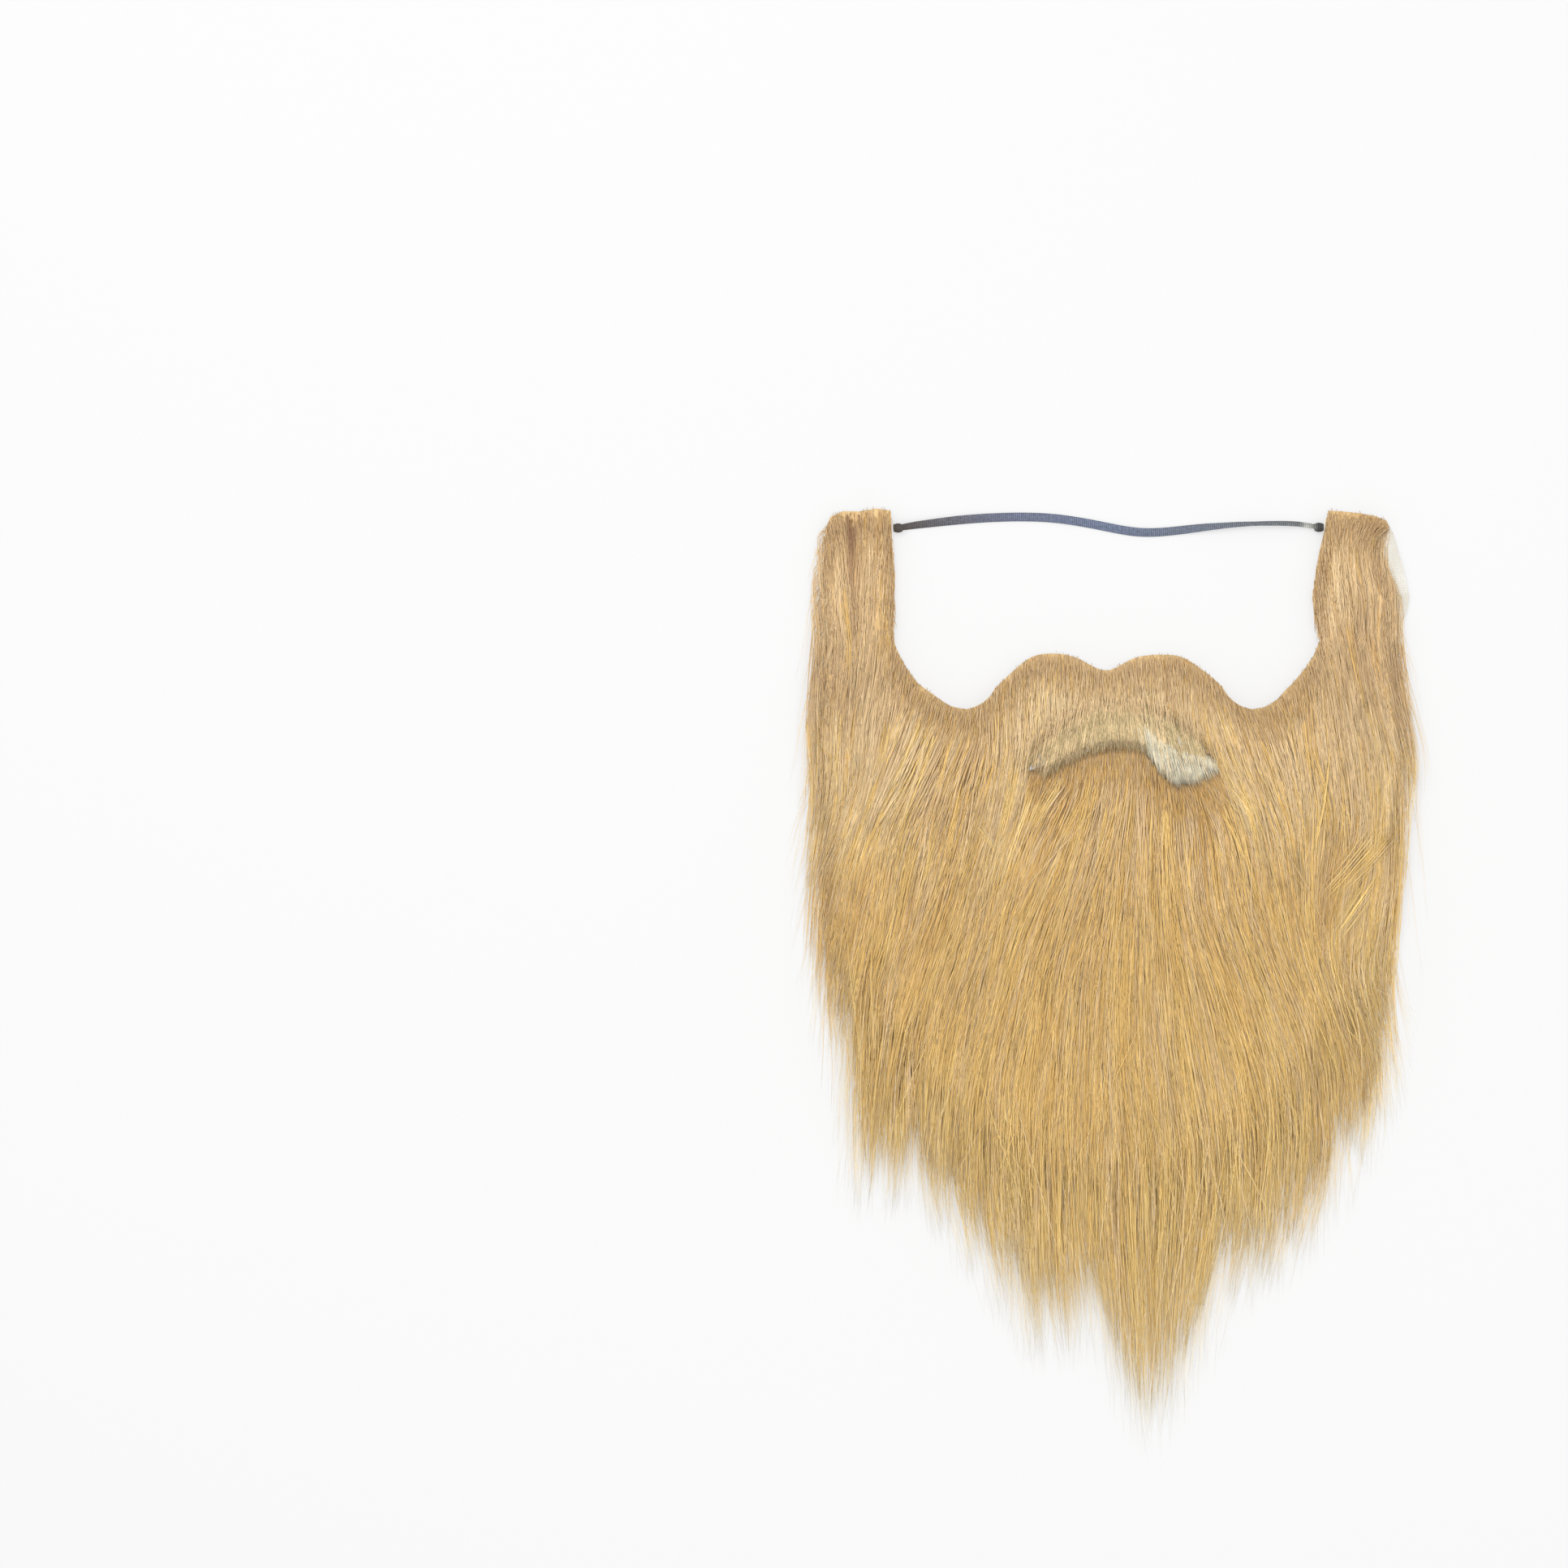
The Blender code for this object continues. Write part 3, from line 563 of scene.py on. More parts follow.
class Beard:
    """The frame's solids, read on a grid: where pile and cloth are, the pile's height and how it is combed."""

    def __init__(self):
        self.fur, self.owners = node_tree(FUR_NODES)
        self.cloth, _ = node_tree(["backing_cloth"])
        low, high = (np.array(corner[:2]) for corner in CAD_BOX)
        low = low - GRID_MARGIN
        counts = ((high + GRID_MARGIN - low) / CELL).astype(int) + 1
        xs = low[0] + CELL * np.arange(counts[0])
        ys = low[1] + CELL * np.arange(counts[1])
        self.points = np.stack(np.meshgrid(xs, ys, indexing="ij"), -1)
        flat = self.points.reshape(-1, 2)
        heights = drop_on(self.fur, flat)[0].reshape(counts)
        cloth = (drop_on(self.cloth, flat)[1] >= 0).astype(float).reshape(counts)
        fur = (heights > 0).astype(float)
        x, y = self.points[..., 0], self.points[..., 1]
        (x0, y0), (x1, y1) = MOUTH_BOX
        in_mouth = (x > x0) & (x < x1) & (y > y0) & (y < y1)
        filled = np.where(in_mouth, 1.0, np.maximum(fur, cloth))
        rooted = cloth * (1 - in_opening(self.points))
        edge = blur(filled, 3.2 * MM)
        rim = blur(rooted, EDGE_BAND * 0.6)
        by_mouth = smoothstep(0.0, 0.5, blur(in_opening(self.points).astype(float), 4 * MM))
        self.edge = Grid(edge, low)
        self.out = Slopes(edge, low)
        self.beyond = Grid(signed_distance(filled, self.points), low)
        self.rim = Grid(rim, low)
        self.rim_out = Slopes(rim, low)
        self.rim_cells = self.points[(rooted > 0) & (rim < 0.95)]
        top = self.pile_top(heights, fur, edge) * (1 - MOUTH_HOLLOW * by_mouth)
        mat = CLOTH_TOP + 0.3 * MM + np.maximum(top - CLOTH_TOP, 0) * MAT_SHARE * smoothstep(0.5, 0.98, rim)
        self.top = Grid(top, low)
        self.mat = Grid(mat, low)
        self.base = Grid(blur(FLOOR_LIFT + (mat - FLOOR_LIFT) * blur(rooted, 2.5 * MM), 2.0 * MM), low)
        self.lean = Grid(self.comb_field(), low)

    @staticmethod
    def pile_top(heights, fur, edge):
        """Top of the pile, smoothed, carried on a little past the solids, and low along the outline."""
        close = blur(fur, 1.6 * MM)
        top = blur(heights, 1.6 * MM) / np.maximum(close, 1e-6)
        wide = blur(heights, 6 * MM) / np.maximum(blur(fur, 6 * MM), 1e-6)
        top = np.where(close > 0.2, top, wide)
        return top * (0.15 + 0.85 * smoothstep(0.0, 0.5, edge))

    def comb_field(self):
        """Lean of the hair at each point of the grid, in radians."""
        places = np.stack([column_of(COMBS, "x"), column_of(COMBS, "y")], -1) * MM
        leans = np.radians(column_of(COMBS, "lean"))
        total = np.zeros(self.points.shape[:2])
        weight = np.zeros(self.points.shape[:2])
        for place, lean in zip(places, leans):
            apart = ((self.points - place) ** 2).sum(-1)
            near = 1 / (apart + COMB_REACH**2) ** 2
            total += near * lean
            weight += near
        return total / weight

    def ground(self, points):
        """Height of what carries the hair: the pile's mat on the cloth, and what it sinks to beside it."""
        base = self.base.at(points)
        on_cloth = smoothstep(0.25, 0.5, self.rim.at(points))
        return base + np.maximum(self.mat.at(points) - base, 0) * on_cloth

    def close_below(self, points, stretches):
        """Share of some distances up the comb at which each point has left the cloth."""
        down = self.way_down(points)
        return np.mean([self.rim.at(points - down * back) < 0.5 for back in stretches], axis=0)

    def way_down(self, points, leans=0.0):
        """Heading of the combed hair at each point, turned by extra leans."""
        lean = self.lean.at(points) + leans
        return np.stack([np.sin(lean), -np.cos(lean)], -1)

    def paths(self, starts, leans, hold=HOLD):
        """The lines that hairs follow, as points a path step apart. The outline turns back those that leave."""
        steps = int(LONGEST / PATH_STEP)
        lines = np.empty((len(starts), steps + 1, 2))
        lines[:, 0] = starts
        for i in range(steps):
            here = lines[:, i]
            way = self.way_down(here, leans)
            out = self.out.at(here)
            held = hold * smoothstep(0.97, 0.6, self.edge.at(here))
            outward = np.clip((way * out).sum(1), 0, None)
            lines[:, i + 1] = here + unit(way - out * (outward * held)[:, None]) * PATH_STEP
        return lines


def scattered(region, spacing):
    """Points spread over a box, about a spacing apart. region is its lowest and highest corner."""
    low, high = (np.array(corner[:2]) for corner in region)
    counts = ((high - low) / spacing).astype(int) + 1
    xs = low[0] + spacing * np.arange(counts[0])
    ys = low[1] + spacing * np.arange(counts[1])
    points = np.stack(np.meshgrid(xs, ys, indexing="ij"), -1).reshape(-1, 2)
    return points + rng.uniform(-0.5, 0.5, points.shape) * spacing


def can_root(beard, points):
    """Whether hair may grow at points: on the cloth and out of the opening."""
    return (drop_on(beard.cloth, points)[1] >= 0) & ~in_opening(points)


def nearest(points, others):
    """For each point, the place in others of the nearest one."""
    found = np.empty(len(points), int)
    block = 2000
    for start in range(0, len(points), block):
        part = points[start : start + block]
        apart = ((part[:, None] - others[None]) ** 2).sum(-1)
        found[start : start + block] = apart.argmin(1)
    return found


def by_level(points, name):
    """A column of the growth table, read at the height of each point."""
    return np.interp(points[:, 1], column_of(GROWTHS, "y") * MM, column_of(GROWTHS, name))


def hair_starts(beard):
    """Where hairs leave the cloth, and where they start down the comb: there, or out past its side edges."""
    starts = scattered(CAD_BOX, ROOT_SPACING)
    starts = starts[rng.random(len(starts)) < by_level(starts, "dense")]
    held = can_root(beard, starts)
    roots = starts.copy()
    loose = np.flatnonzero(~held & ~in_opening(starts) & (drop_on(beard.fur, starts)[1] >= 0))
    roots[loose] = beard.rim_cells[nearest(starts[loose], beard.rim_cells)]
    reach = np.linalg.norm(starts - roots, axis=1)
    sideways = np.abs(starts[:, 0] - roots[:, 0]) > 0.7 * reach
    kept = held | ((reach > 0) & (reach < OVERHANG_REACH) & sideways)
    return roots[kept], starts[kept]


def headings(lines):
    """The ways along lines in plan, and across them."""
    along = unit(np.gradient(lines, axis=1))
    return along, np.stack([-along[..., 1], along[..., 0]], -1)


def waved(lines, phases, heights):
    """Lines with a gentle sideways wave, growing from their roots."""
    distance = np.arange(lines.shape[1]) * PATH_STEP
    across = headings(lines)[1]
    swing = np.sin(2 * math.pi * distance[None] / WAVE_LENGTH + phases[:, None])
    swing *= smoothstep(0, 20 * MM, distance)
    return lines + across * (swing * heights[:, None])[..., None]


def gathered(lines, guides, owner, lengths, pull):
    """Lines drawn towards their guides, more and more towards their tips."""
    distance = np.arange(lines.shape[1]) * PATH_STEP
    share = np.clip(distance[None] / lengths[:, None], 0, 1)
    weight = (pull[:, None] * share**1.3)[..., None]
    return lines * (1 - weight) + guides[owner] * weight


def read_lines(lines, distances):
    """Points of each line at its own distances from the root."""
    place = np.clip(distances / PATH_STEP, 0, lines.shape[1] - 1.001)
    index = place.astype(int)
    part = (place - index)[..., None]
    row = np.arange(len(lines))[:, None]
    return lines[row, index] * (1 - part) + lines[row, index + 1] * part


def first_past(crossed):
    """Distance along each line at which crossed first holds, or the longest."""
    return np.where(crossed.any(1), crossed.argmax(1) * PATH_STEP, LONGEST)


# Hairs: for each ring its place, radius, place in the palette and on the length ramp of painted root shade.
# Roots are in plan.
Hairs = namedtuple("Hairs", "lines radii tones shades roots")


def in_space(plan, height):
    """Points in plan with their heights."""
    return np.concatenate([plan, height[..., None]], -1)


def on_rings(values, rings=RINGS):
    """One value of each hair, the same on all its rings."""
    return values[:, None] * np.ones(rings + 1)


def thickness(count, taper):
    """Radius of each ring of each hair, which follows a taper."""
    return rng.uniform(THIN, THICK, count)[:, None] * taper


def shaded(first, last, count, rings):
    """Place on the length ramp of painted root shade of each ring of each hair, between a first and a last one.
    """
    first = np.broadcast_to(first, count)[:, None]
    return first + (last - first) * np.linspace(0, 1, rings + 1)


def wisp_lines(beard, locks_at, wisps_at, lock_of_wisp):
    """The line of each wisp, drawn towards its lock's, and its extra lean."""
    lock_leans = np.radians(rng.normal(0, LEAN_SCATTER * 0.6, len(locks_at)))
    locks = beard.paths(locks_at, lock_leans)
    leans = lock_leans[lock_of_wisp] + np.radians(rng.normal(0, LEAN_SCATTER, len(wisps_at)))
    wisps = waved(
        beard.paths(wisps_at, leans),
        rng.uniform(0, 2 * math.pi, len(wisps_at)),
        rng.uniform(0.3, 1.0, len(wisps_at)) * WAVE_HEIGHT,
    )
    pull = np.interp(wisps_at[:, 1], PULL_LEVELS, LOCK_PULL)
    return gathered(wisps, locks, lock_of_wisp, by_level(wisps_at, "length") * MM, pull), leans


def cut_short(beard, lines, lengths, roots, reach):
    """Lengths of hairs, cut where they pass the outline by more than their reach or enter the opening."""
    beyond = beard.beyond.at(lines)
    leaving = read_lines(lines, first_past(beyond > 0)[:, None])[:, 0, 0] / MM
    trimmed = np.interp(leaving, column_of(TRIMS, "x"), column_of(TRIMS, "short")) * MM
    reach = reach - trimmed * below_cheeks(roots)
    out = first_past(beyond > np.clip(reach, 0, FRINGE_REACH[1])[:, None])
    lengths = np.minimum(lengths, np.maximum(out + 1.5 * np.minimum(reach, 0), SHORTEST))
    entry = first_past(in_opening(lines)) + rng.uniform(*OPENING_REACH, len(lines))
    return np.minimum(lengths, np.maximum(entry, 0.5 * SHORTEST))


def grow_hair(beard):
    """Every long hair of the beard: its line in space, thickness and tone."""
    locks_at = scattered(CAD_BOX, LOCK_SPACING)
    wisps_at = scattered(CAD_BOX, WISP_SPACING)
    locks_at, wisps_at = locks_at[can_root(beard, locks_at)], wisps_at[can_root(beard, wisps_at)]
    roots, starts = hair_starts(beard)
    count = len(roots)
    lock_of_wisp = nearest(wisps_at, locks_at)
    wisp = nearest(starts, wisps_at)
    lock = lock_of_wisp[wisp]
    wisps, wisp_leans = wisp_lines(beard, locks_at, wisps_at, lock_of_wisp)
    wisp_layers, wisp_draws = rng.random((2, len(wisps_at)))

    stray = rng.random(count) < STRAY_SHARE
    fringe = rng.random(count) < by_level(roots, "fringe")
    scatter = np.select([stray, fringe], [STRAY_LEAN, FRINGE_LEAN], LEAN_SCATTER)
    leans = wisp_leans[wisp] + np.radians(rng.normal(0, 1, count) * scatter)
    lines = beard.paths(starts, leans, np.where(fringe, FRINGE_HOLD, HOLD))
    lines = waved(lines, rng.uniform(0, 2 * math.pi, count), rng.uniform(0, 0.6, count) * WAVE_HEIGHT)
    lengths = by_level(roots, "length") * MM * rng.uniform(0.66, 1.1, count)
    pull = np.interp(roots[:, 1], PULL_LEVELS, WISP_PULL) * np.where(stray | fringe, 0.35, 1.0)
    lines = gathered(lines, wisps, wisp, lengths, pull)

    reach = (
        rng.normal(0, LOCK_REACH, len(locks_at))[lock]
        + rng.normal(0, WISP_REACH, len(wisps_at))[wisp]
        + rng.normal(0, HAIR_REACH, count)
    )
    reach = np.where(fringe, rng.uniform(*FRINGE_REACH, count) + HEM_REACH * below_cheeks(roots), reach)
    leaves = first_past(beard.beyond.at(lines) > -2 * MM) < lengths
    lengths = cut_short(beard, lines, lengths, roots, reach)

    share = np.linspace(0, 1, RINGS + 1) ** 1.2
    distances = lengths[:, None] * share[None]
    spread = np.exp(-distances / (4 * MM))[..., None]
    plan = read_lines(lines, distances) + (roots - starts)[:, None] * spread
    layer = 0.42 * wisp_layers[wisp] + 0.16 * rng.random(count)
    layer = np.clip(layer[:, None] + 0.5 * share[None], 0, 1)
    layer = np.where(stray[:, None], 1.03, layer)
    base, top = beard.ground(plan), beard.top.at(plan)
    height = base + np.maximum(top - base, 0) * (1 - np.exp(-distances / RISE)) * layer

    taper = np.interp(share, [0, 0.1, 0.5, 0.8, 1], [0.7, 1.0, 0.88, 0.5, 0.0])
    radii = thickness(count, taper) * np.where(fringe, FRINGE_THIN, 1.0)[:, None]
    tones = (
        0.5
        + by_level(roots, "tone")
        + 0.045 * rng.normal(size=len(locks_at))[lock]
        + 0.06 * rng.normal(size=len(wisps_at))[wisp]
        + 0.03 * rng.normal(size=count)
        + 0.05 * fringe
        + streaks_and_painted_shading(starts)
    )
    loose = fringe & leaves
    tones = tones[:, None] + FRINGE_PALER * loose[:, None] * share**2
    draws = np.where(rng.random(count) < WISP_COHESION, wisp_draws[wisp], rng.random(count))
    draws[loose] = 0
    # less painted root shade for hairs that start just below a top edge, where their roots show
    shades = shaded(0.02 + 0.28 * beard.close_below(starts, TOP_STRETCH), 0.98, count, RINGS)
    return Hairs(in_space(plan, height), radii, palette(tones, roots, draws), shades, roots)


def below_cheeks(points):
    """0 to 1 from the cheeks to the hem's own hair."""
    return smoothstep(PULL_LEVELS[1], PULL_LEVELS[1] - 50 * MM, points[:, 1])


def streaks_and_painted_shading(points):
    """Change of tone near each streak's line: streaks of the hair, and painted shade and painted light."""
    change = np.zeros(len(points))
    for streak in STREAKS_AND_PAINTED_SHADING:
        start, end = np.array([[streak.x0, streak.y0], [streak.x1, streak.y1]]) * MM
        along = end - start
        place = np.clip(((points - start) @ along) / (along @ along), 0, 1)
        apart = np.linalg.norm(points - start - place[:, None] * along, axis=1)
        change += streak.tone * np.exp(-((apart / (streak.width * MM)) ** 2))
    return change


def palette(tones, roots, draws):
    """Place of each ring of each hair in the palette's width: golden first, ashen in the next third."""
    ashen = draws < by_level(roots, "ashen")
    return in_palette(tones, ASHEN_BAND * ashen)


def in_palette(tones, bands):
    """Place in the palette's width of tones within each hair's band."""
    return (np.clip(tones, 0.03, 0.95) + bands[:, None]) / len(PALETTE)


def crossing_hair(beard):
    """The wisps that lie across the comb, drawn together towards their tips."""
    share = np.linspace(0, 1, RINGS + 1)
    groups = []
    for wisp in CROSSINGS:
        count = wisp.hairs
        lean = np.radians(wisp.lean + wisp.bend * share)
        steps = np.stack([np.sin(lean), -np.cos(lean)], -1) * wisp.length * MM / RINGS
        line = np.concatenate([[[0, 0]], np.cumsum(steps[:-1], axis=0)]) + np.array([wisp.x, wisp.y]) * MM
        across = np.array([math.cos(lean[0]), math.sin(lean[0])])
        apart = rng.normal(0, wisp.spread * MM, (count, 1, 1)) * across * (1 - 0.4 * share[:, None])
        late = rng.normal(0, 0.06 * wisp.length * MM, (count, 1, 1)) * steps[0] / np.linalg.norm(steps[0])
        plan = line[None] + apart + late
        resting = np.interp(share, [0, 0.2, 0.8, 1], [0.7, 0.99, 0.98, 0.85])
        height = np.maximum(beard.top.at(plan) * resting, FLOOR_LIFT)
        taper = np.interp(share, [0, 0.2, 0.7, 1], [0.6, 1.0, 0.7, 0.0])
        radii = thickness(count, taper)
        tones = palette(on_rings(rng.normal(*CROSSING_TONE, count)), plan[:, 0], rng.random(count))
        shades = shaded(0.1, 0.98, count, RINGS)
        groups.append(Hairs(in_space(plan, height), radii, tones, shades, plan[:, 0]))
    return Hairs(*(np.concatenate(parts) for parts in zip(*groups)))


def laid_hair(beard):
    """The long close wisps on top of the hair, most of them a little paler than it."""
    places = scattered(CAD_BOX, LAID_SPACING)
    places = places[can_root(beard, places)]
    middles = beard.paths(places, np.radians(rng.normal(0, LAID_LEAN, len(places))))
    clear = np.minimum(first_past(beard.beyond.at(middles) > -6 * MM), first_past(in_opening(middles)))
    lengths = np.minimum(rng.uniform(*LAID_LENGTH, len(places)), clear - 2 * MM)
    kept = lengths > LAID_SHORTEST
    middles, lengths = middles[kept], lengths[kept] * 0.86

    count = len(middles)
    share = np.linspace(0, 1, RINGS + 1)
    line = read_lines(middles, lengths[:, None] * share[None])
    along, across = headings(line)
    apart = rng.normal(0, rng.uniform(*LAID_WIDTH, (count, 1)), (count, LAID_HAIRS))
    apart = apart[..., None] * (1 - 0.4 * share)
    late = rng.uniform(0, 0.15, (count, LAID_HAIRS)) * lengths[:, None]
    plan = line[:, None] + across[:, None] * apart[..., None] + along[:, None] * late[..., None, None]
    plan = plan.reshape(-1, RINGS + 1, 2)
    resting = np.interp(share, [0, 0.18, 0.8, 1], [0.55, 1.0, 1.0, 0.85])
    resting = resting * rng.uniform(0.92, 1.0, (len(plan), 1))
    resting *= 1 - (1 - LAID_LOW) * below_cheeks(plan.reshape(-1, 2)).reshape(len(plan), -1)
    height = np.maximum(beard.top.at(plan) * resting, FLOOR_LIFT)
    taper = np.interp(share, [0, 0.15, 0.6, 1], [0.5, 1.0, 0.85, 0.0])
    radii = 0.9 * thickness(len(plan), taper)
    tone = rng.normal(*LAID_TONE, count).repeat(LAID_HAIRS) + rng.normal(0, 0.03, len(plan))
    roots = plan[:, 0]
    tone = on_rings(tone + by_level(roots, "tone") + streaks_and_painted_shading(roots))
    tones = palette(tone, roots, rng.random(count).repeat(LAID_HAIRS))
    shades = shaded(0.2, 0.98, len(plan), RINGS)
    return Hairs(in_space(plan, height), radii, tones, shades, roots)


def veil_hair(beard):
    """Fine pale hair from the opening's upper edge down across the slit, its pale tone partly painted light in
    place of the floor seen through it.
    """
    share = np.linspace(0, 1, RINGS + 1)
    end_x = np.concatenate([rng.uniform(veil.x_low, veil.x_high, veil.hairs) for veil in VEILS]) * MM
    hairs = column_of(VEILS, "hairs")
    columns = ("tone", "start", "end", "pale")
    tone, first, last, pale = (np.repeat(column_of(VEILS, name), hairs) for name in columns)
    count = len(end_x)
    pale = rng.random(count) < pale
    lean = np.radians(rng.normal(0, 5, count)) + 0.3 * end_x / (40 * MM)
    top, bottom = mouth_edges(end_x)
    end_y = top + (bottom - top) * last - rng.uniform(*VEIL_PAST, count)
    start_x = end_x - np.sin(lean) * (top + 5 * MM - end_y) * (1 - first)
    top, bottom = mouth_edges(start_x)
    start_y = top + (bottom - top) * first + rng.uniform(0, 1, count) * np.where(pale, *VEIL_ABOVE)
    start_y = np.maximum(start_y, end_y + 3 * MM)
    start, end = np.stack([start_x, start_y], -1), np.stack([end_x, end_y], -1)
    plan = start[:, None] + (end - start)[:, None] * share[None, :, None]
    level = np.interp(share, [0, 0.12, 0.5, 0.8, 1], [0.7, 1.0, 1.0, 0.95, 0.9])
    height = beard.top.at(plan) * level[None] * rng.uniform(0.85, 1.08, (count, 1))
    resting = np.interp(share, [0, 0.6, 1], [0.3, 0.6, 1.0]) * rng.uniform(*VEIL_RESTS, (count, 1))
    height = np.maximum(height, beard.ground(plan) + resting)
    taper = np.interp(share, [0, 0.15, 0.85, 1], [0.8, 1.0, 0.8, 0.0])
    radii = thickness(count, taper)
    own = np.where(pale, rng.normal(tone, 0.03), rng.normal(0.46, 0.04, count))
    tones = in_palette(on_rings(own), np.where(pale, VEIL_BAND, ASHEN_BAND))
    shades = shaded(0.55, 0.98, count, RINGS)
    return Hairs(in_space(plan, height), radii, tones, shades, plan[:, 0])


def edge_pile(beard):
    """Short hair over the comb's first stretch, where long hair is thin, and out over the free edges."""
    roots = scattered(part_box("backing_cloth"), EDGE_SPACING)
    roots = roots[can_root(beard, roots)]
    out, down = beard.rim_out.at(roots), beard.way_down(roots)
    side = (beard.rim.at(roots) < 0.95) & ((out * down).sum(1) < 0.35)
    first = beard.close_below(roots, FIRST_STRETCH) > 0
    chosen = side | first
    roots, out, down, first = roots[chosen], out[chosen], down[chosen], first[chosen]
    count = len(roots)
    near = 1 - smoothstep(0.55, 0.95, beard.rim.at(roots))
    length = np.where(first, rng.uniform(*FIRST_LENGTH, count), rng.uniform(*EDGE_LENGTH, count))
    outward = np.where(first, rng.uniform(*FIRST_OUT, count), rng.uniform(*EDGE_OUT, count)) * near
    back = np.where(first, rng.uniform(*FIRST_BACK, count), 0) * near
    share = np.linspace(0, 1, EDGE_RINGS + 1)
    astray = rng.normal(0, 0.035, (count, 2)) * length[:, None]
    plan = (
        (roots - down * back[:, None])[:, None]
        + out[:, None] * (outward[:, None] * np.sin(0.5 * math.pi * share))[..., None]
        + (down * length[:, None] * 0.85)[:, None] * (share[None] ** (1 + 0.7 * near[:, None]))[..., None]
        + astray[:, None] * share[:, None]
    )
    depth = np.clip(beard.top.at(roots) - beard.base.at(roots), 1.0 * MM, 4.5 * MM)
    lift = rng.uniform(0.25, 0.95, count) * depth
    height = beard.ground(plan) + lift[:, None] * np.sin(0.75 * math.pi * share)[None]
    radii = thickness(count, np.interp(share, [0, 0.4, 1], [0.9, 1.0, 0.0]))
    tone = rng.normal(*EDGE_TONE, count) + by_level(roots, "tone") + streaks_and_painted_shading(roots)
    tones = palette(on_rings(tone, EDGE_RINGS), roots, rng.random(count))
    shades = shaded(0.15, 0.55, count, EDGE_RINGS)
    return Hairs(in_space(plan, height), radii, tones, shades, roots)


def strand_mesh(name, hairs):
    """One mesh of tapered three-sided hairs, each a closed body. Its map OFBake holds tones and length."""
    lines = np.concatenate([settled(hairs.lines[..., :2]), hairs.lines[..., 2:]], -1)
    radii = hairs.radii
    count, rings = lines.shape[0], lines.shape[1] - 1
    along = unit(np.gradient(lines, axis=1))
    side = unit(np.cross(along, np.array([0.0, 0.0, 1.0])))
    lift = np.cross(side, along)
    turns = np.radians([90, 210, 330])[:, None]
    spokes = side[:, :rings, None] * np.cos(turns) + lift[:, :rings, None] * np.sin(turns)
    tubes = lines[:, :rings, None] + spokes * radii[:, :rings, None, None]
    points = np.concatenate([tubes.reshape(count, rings * 3, 3), lines[:, rings:]], 1)
    each = rings * 3 + 1

    faces, charts = [], []  # a chart is a corner's ring, and its steps across and along the map
    for r in range(rings - 1):
        for k in range(3):
            a, b = r * 3 + k, r * 3 + (k + 1) % 3
            faces.append((a, a + 3, b + 3, b))
            charts += [(r, 0, 0), (r + 1, 0, 0), (r + 1, 1, 0), (r, 1, 0)]
    last = rings - 1
    for k in range(3):
        faces.append((last * 3 + k, rings * 3, last * 3 + (k + 1) % 3))
        charts += [(last, 0, 0), (rings, 0.5, 0), (last, 1, 0)]
    faces.append((0, 1, 2))
    charts += [(0, 0, 0), (0, 1, 0), (0, 0.5, 1)]

    loops = (np.concatenate(faces)[None] + each * np.arange(count)[:, None]).ravel()
    sizes = np.tile([len(face) for face in faces], count)
    ring, across, up = np.array(charts).T
    ring = ring.astype(int)
    uv = np.stack([hairs.tones[:, ring] + across * TONE_WIDTH, hairs.shades[:, ring] + up * TONE_WIDTH], -1)

    mesh = bpy.data.meshes.new(name)
    mesh.vertices.add(count * each)
    mesh.vertices.foreach_set("co", points.ravel())
    mesh.loops.add(len(loops))
    mesh.loops.foreach_set("vertex_index", loops)
    mesh.polygons.add(len(sizes))
    mesh.polygons.foreach_set("loop_start", np.concatenate([[0], np.cumsum(sizes)[:-1]]))
    mesh.update(calc_edges=True)
    mesh.uv_layers.new(name="OFBake")
    mesh.uv_layers["OFBake"].data.foreach_set("uv", uv.ravel())
    mesh.shade_smooth()
    return mesh


def placed(name, data):
    """A new object in the scene."""
    thing = bpy.data.objects.new(name, data)
    bpy.context.scene.collection.objects.link(thing)
    return thing


def new_piece(name, mesh, finish, slot, *nodes):
    """A mesh as a piece of the model, riding on the one body in the place of CAD nodes."""
    piece = placed(name, mesh)
    mesh.materials.append(finish)
    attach(piece, "root")
    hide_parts(*nodes)
    return piece


def hair_pieces(beard, finish):
    """The hair, in one piece for each field, and the short pile and the veil by themselves."""
    long_hair = (grow_hair(beard), crossing_hair(beard), laid_hair(beard))
    hairs = Hairs(*(np.concatenate(parts) for parts in zip(*long_hair)))
    faces = drop_on(beard.fur, hairs.roots)[1]
    node = np.array([beard.owners[face] if face >= 0 else len(FUR_NODES) - 1 for face in faces])
    x, y = hairs.roots.T / MM
    left = np.ones(len(node), bool)
    for field in FIELDS:
        mine = left & (node == FUR_NODES.index(field.node))
        mine &= (x >= field.x_low) & (x < field.x_high) & (y >= field.y_low)
        left &= ~mine
        chosen = Hairs(*(part[mine] for part in hairs))
        new_piece(field.name, strand_mesh(field.name, chosen), finish, "blond_fur", field.node)
    new_piece("edge_pile", strand_mesh("edge_pile", edge_pile(beard)), finish, "blond_fur", *FUR_NODES)
    veil = strand_mesh("mouth_veil", veil_hair(beard))
    new_piece("mouth_veil", veil, finish, "blond_fur", "moustache_fur")


def refined(bm, longest):
    """Triangles of a mesh, split until no edge is longer than that."""
    while True:
        bmesh.ops.triangulate(bm, faces=bm.faces)
        long_edges = [edge for edge in bm.edges if edge.calc_length() > longest]
        if not long_edges:
            return
        bmesh.ops.subdivide_edges(bm, edges=long_edges, cuts=1)


def settle(bm):
    """Moves a mesh's vertices as the soft edges settle."""
    places = settled(np.array([vertex.co.xy for vertex in bm.verts]))
    for vertex, place in zip(bm.verts, places):
        vertex.co.xy = place


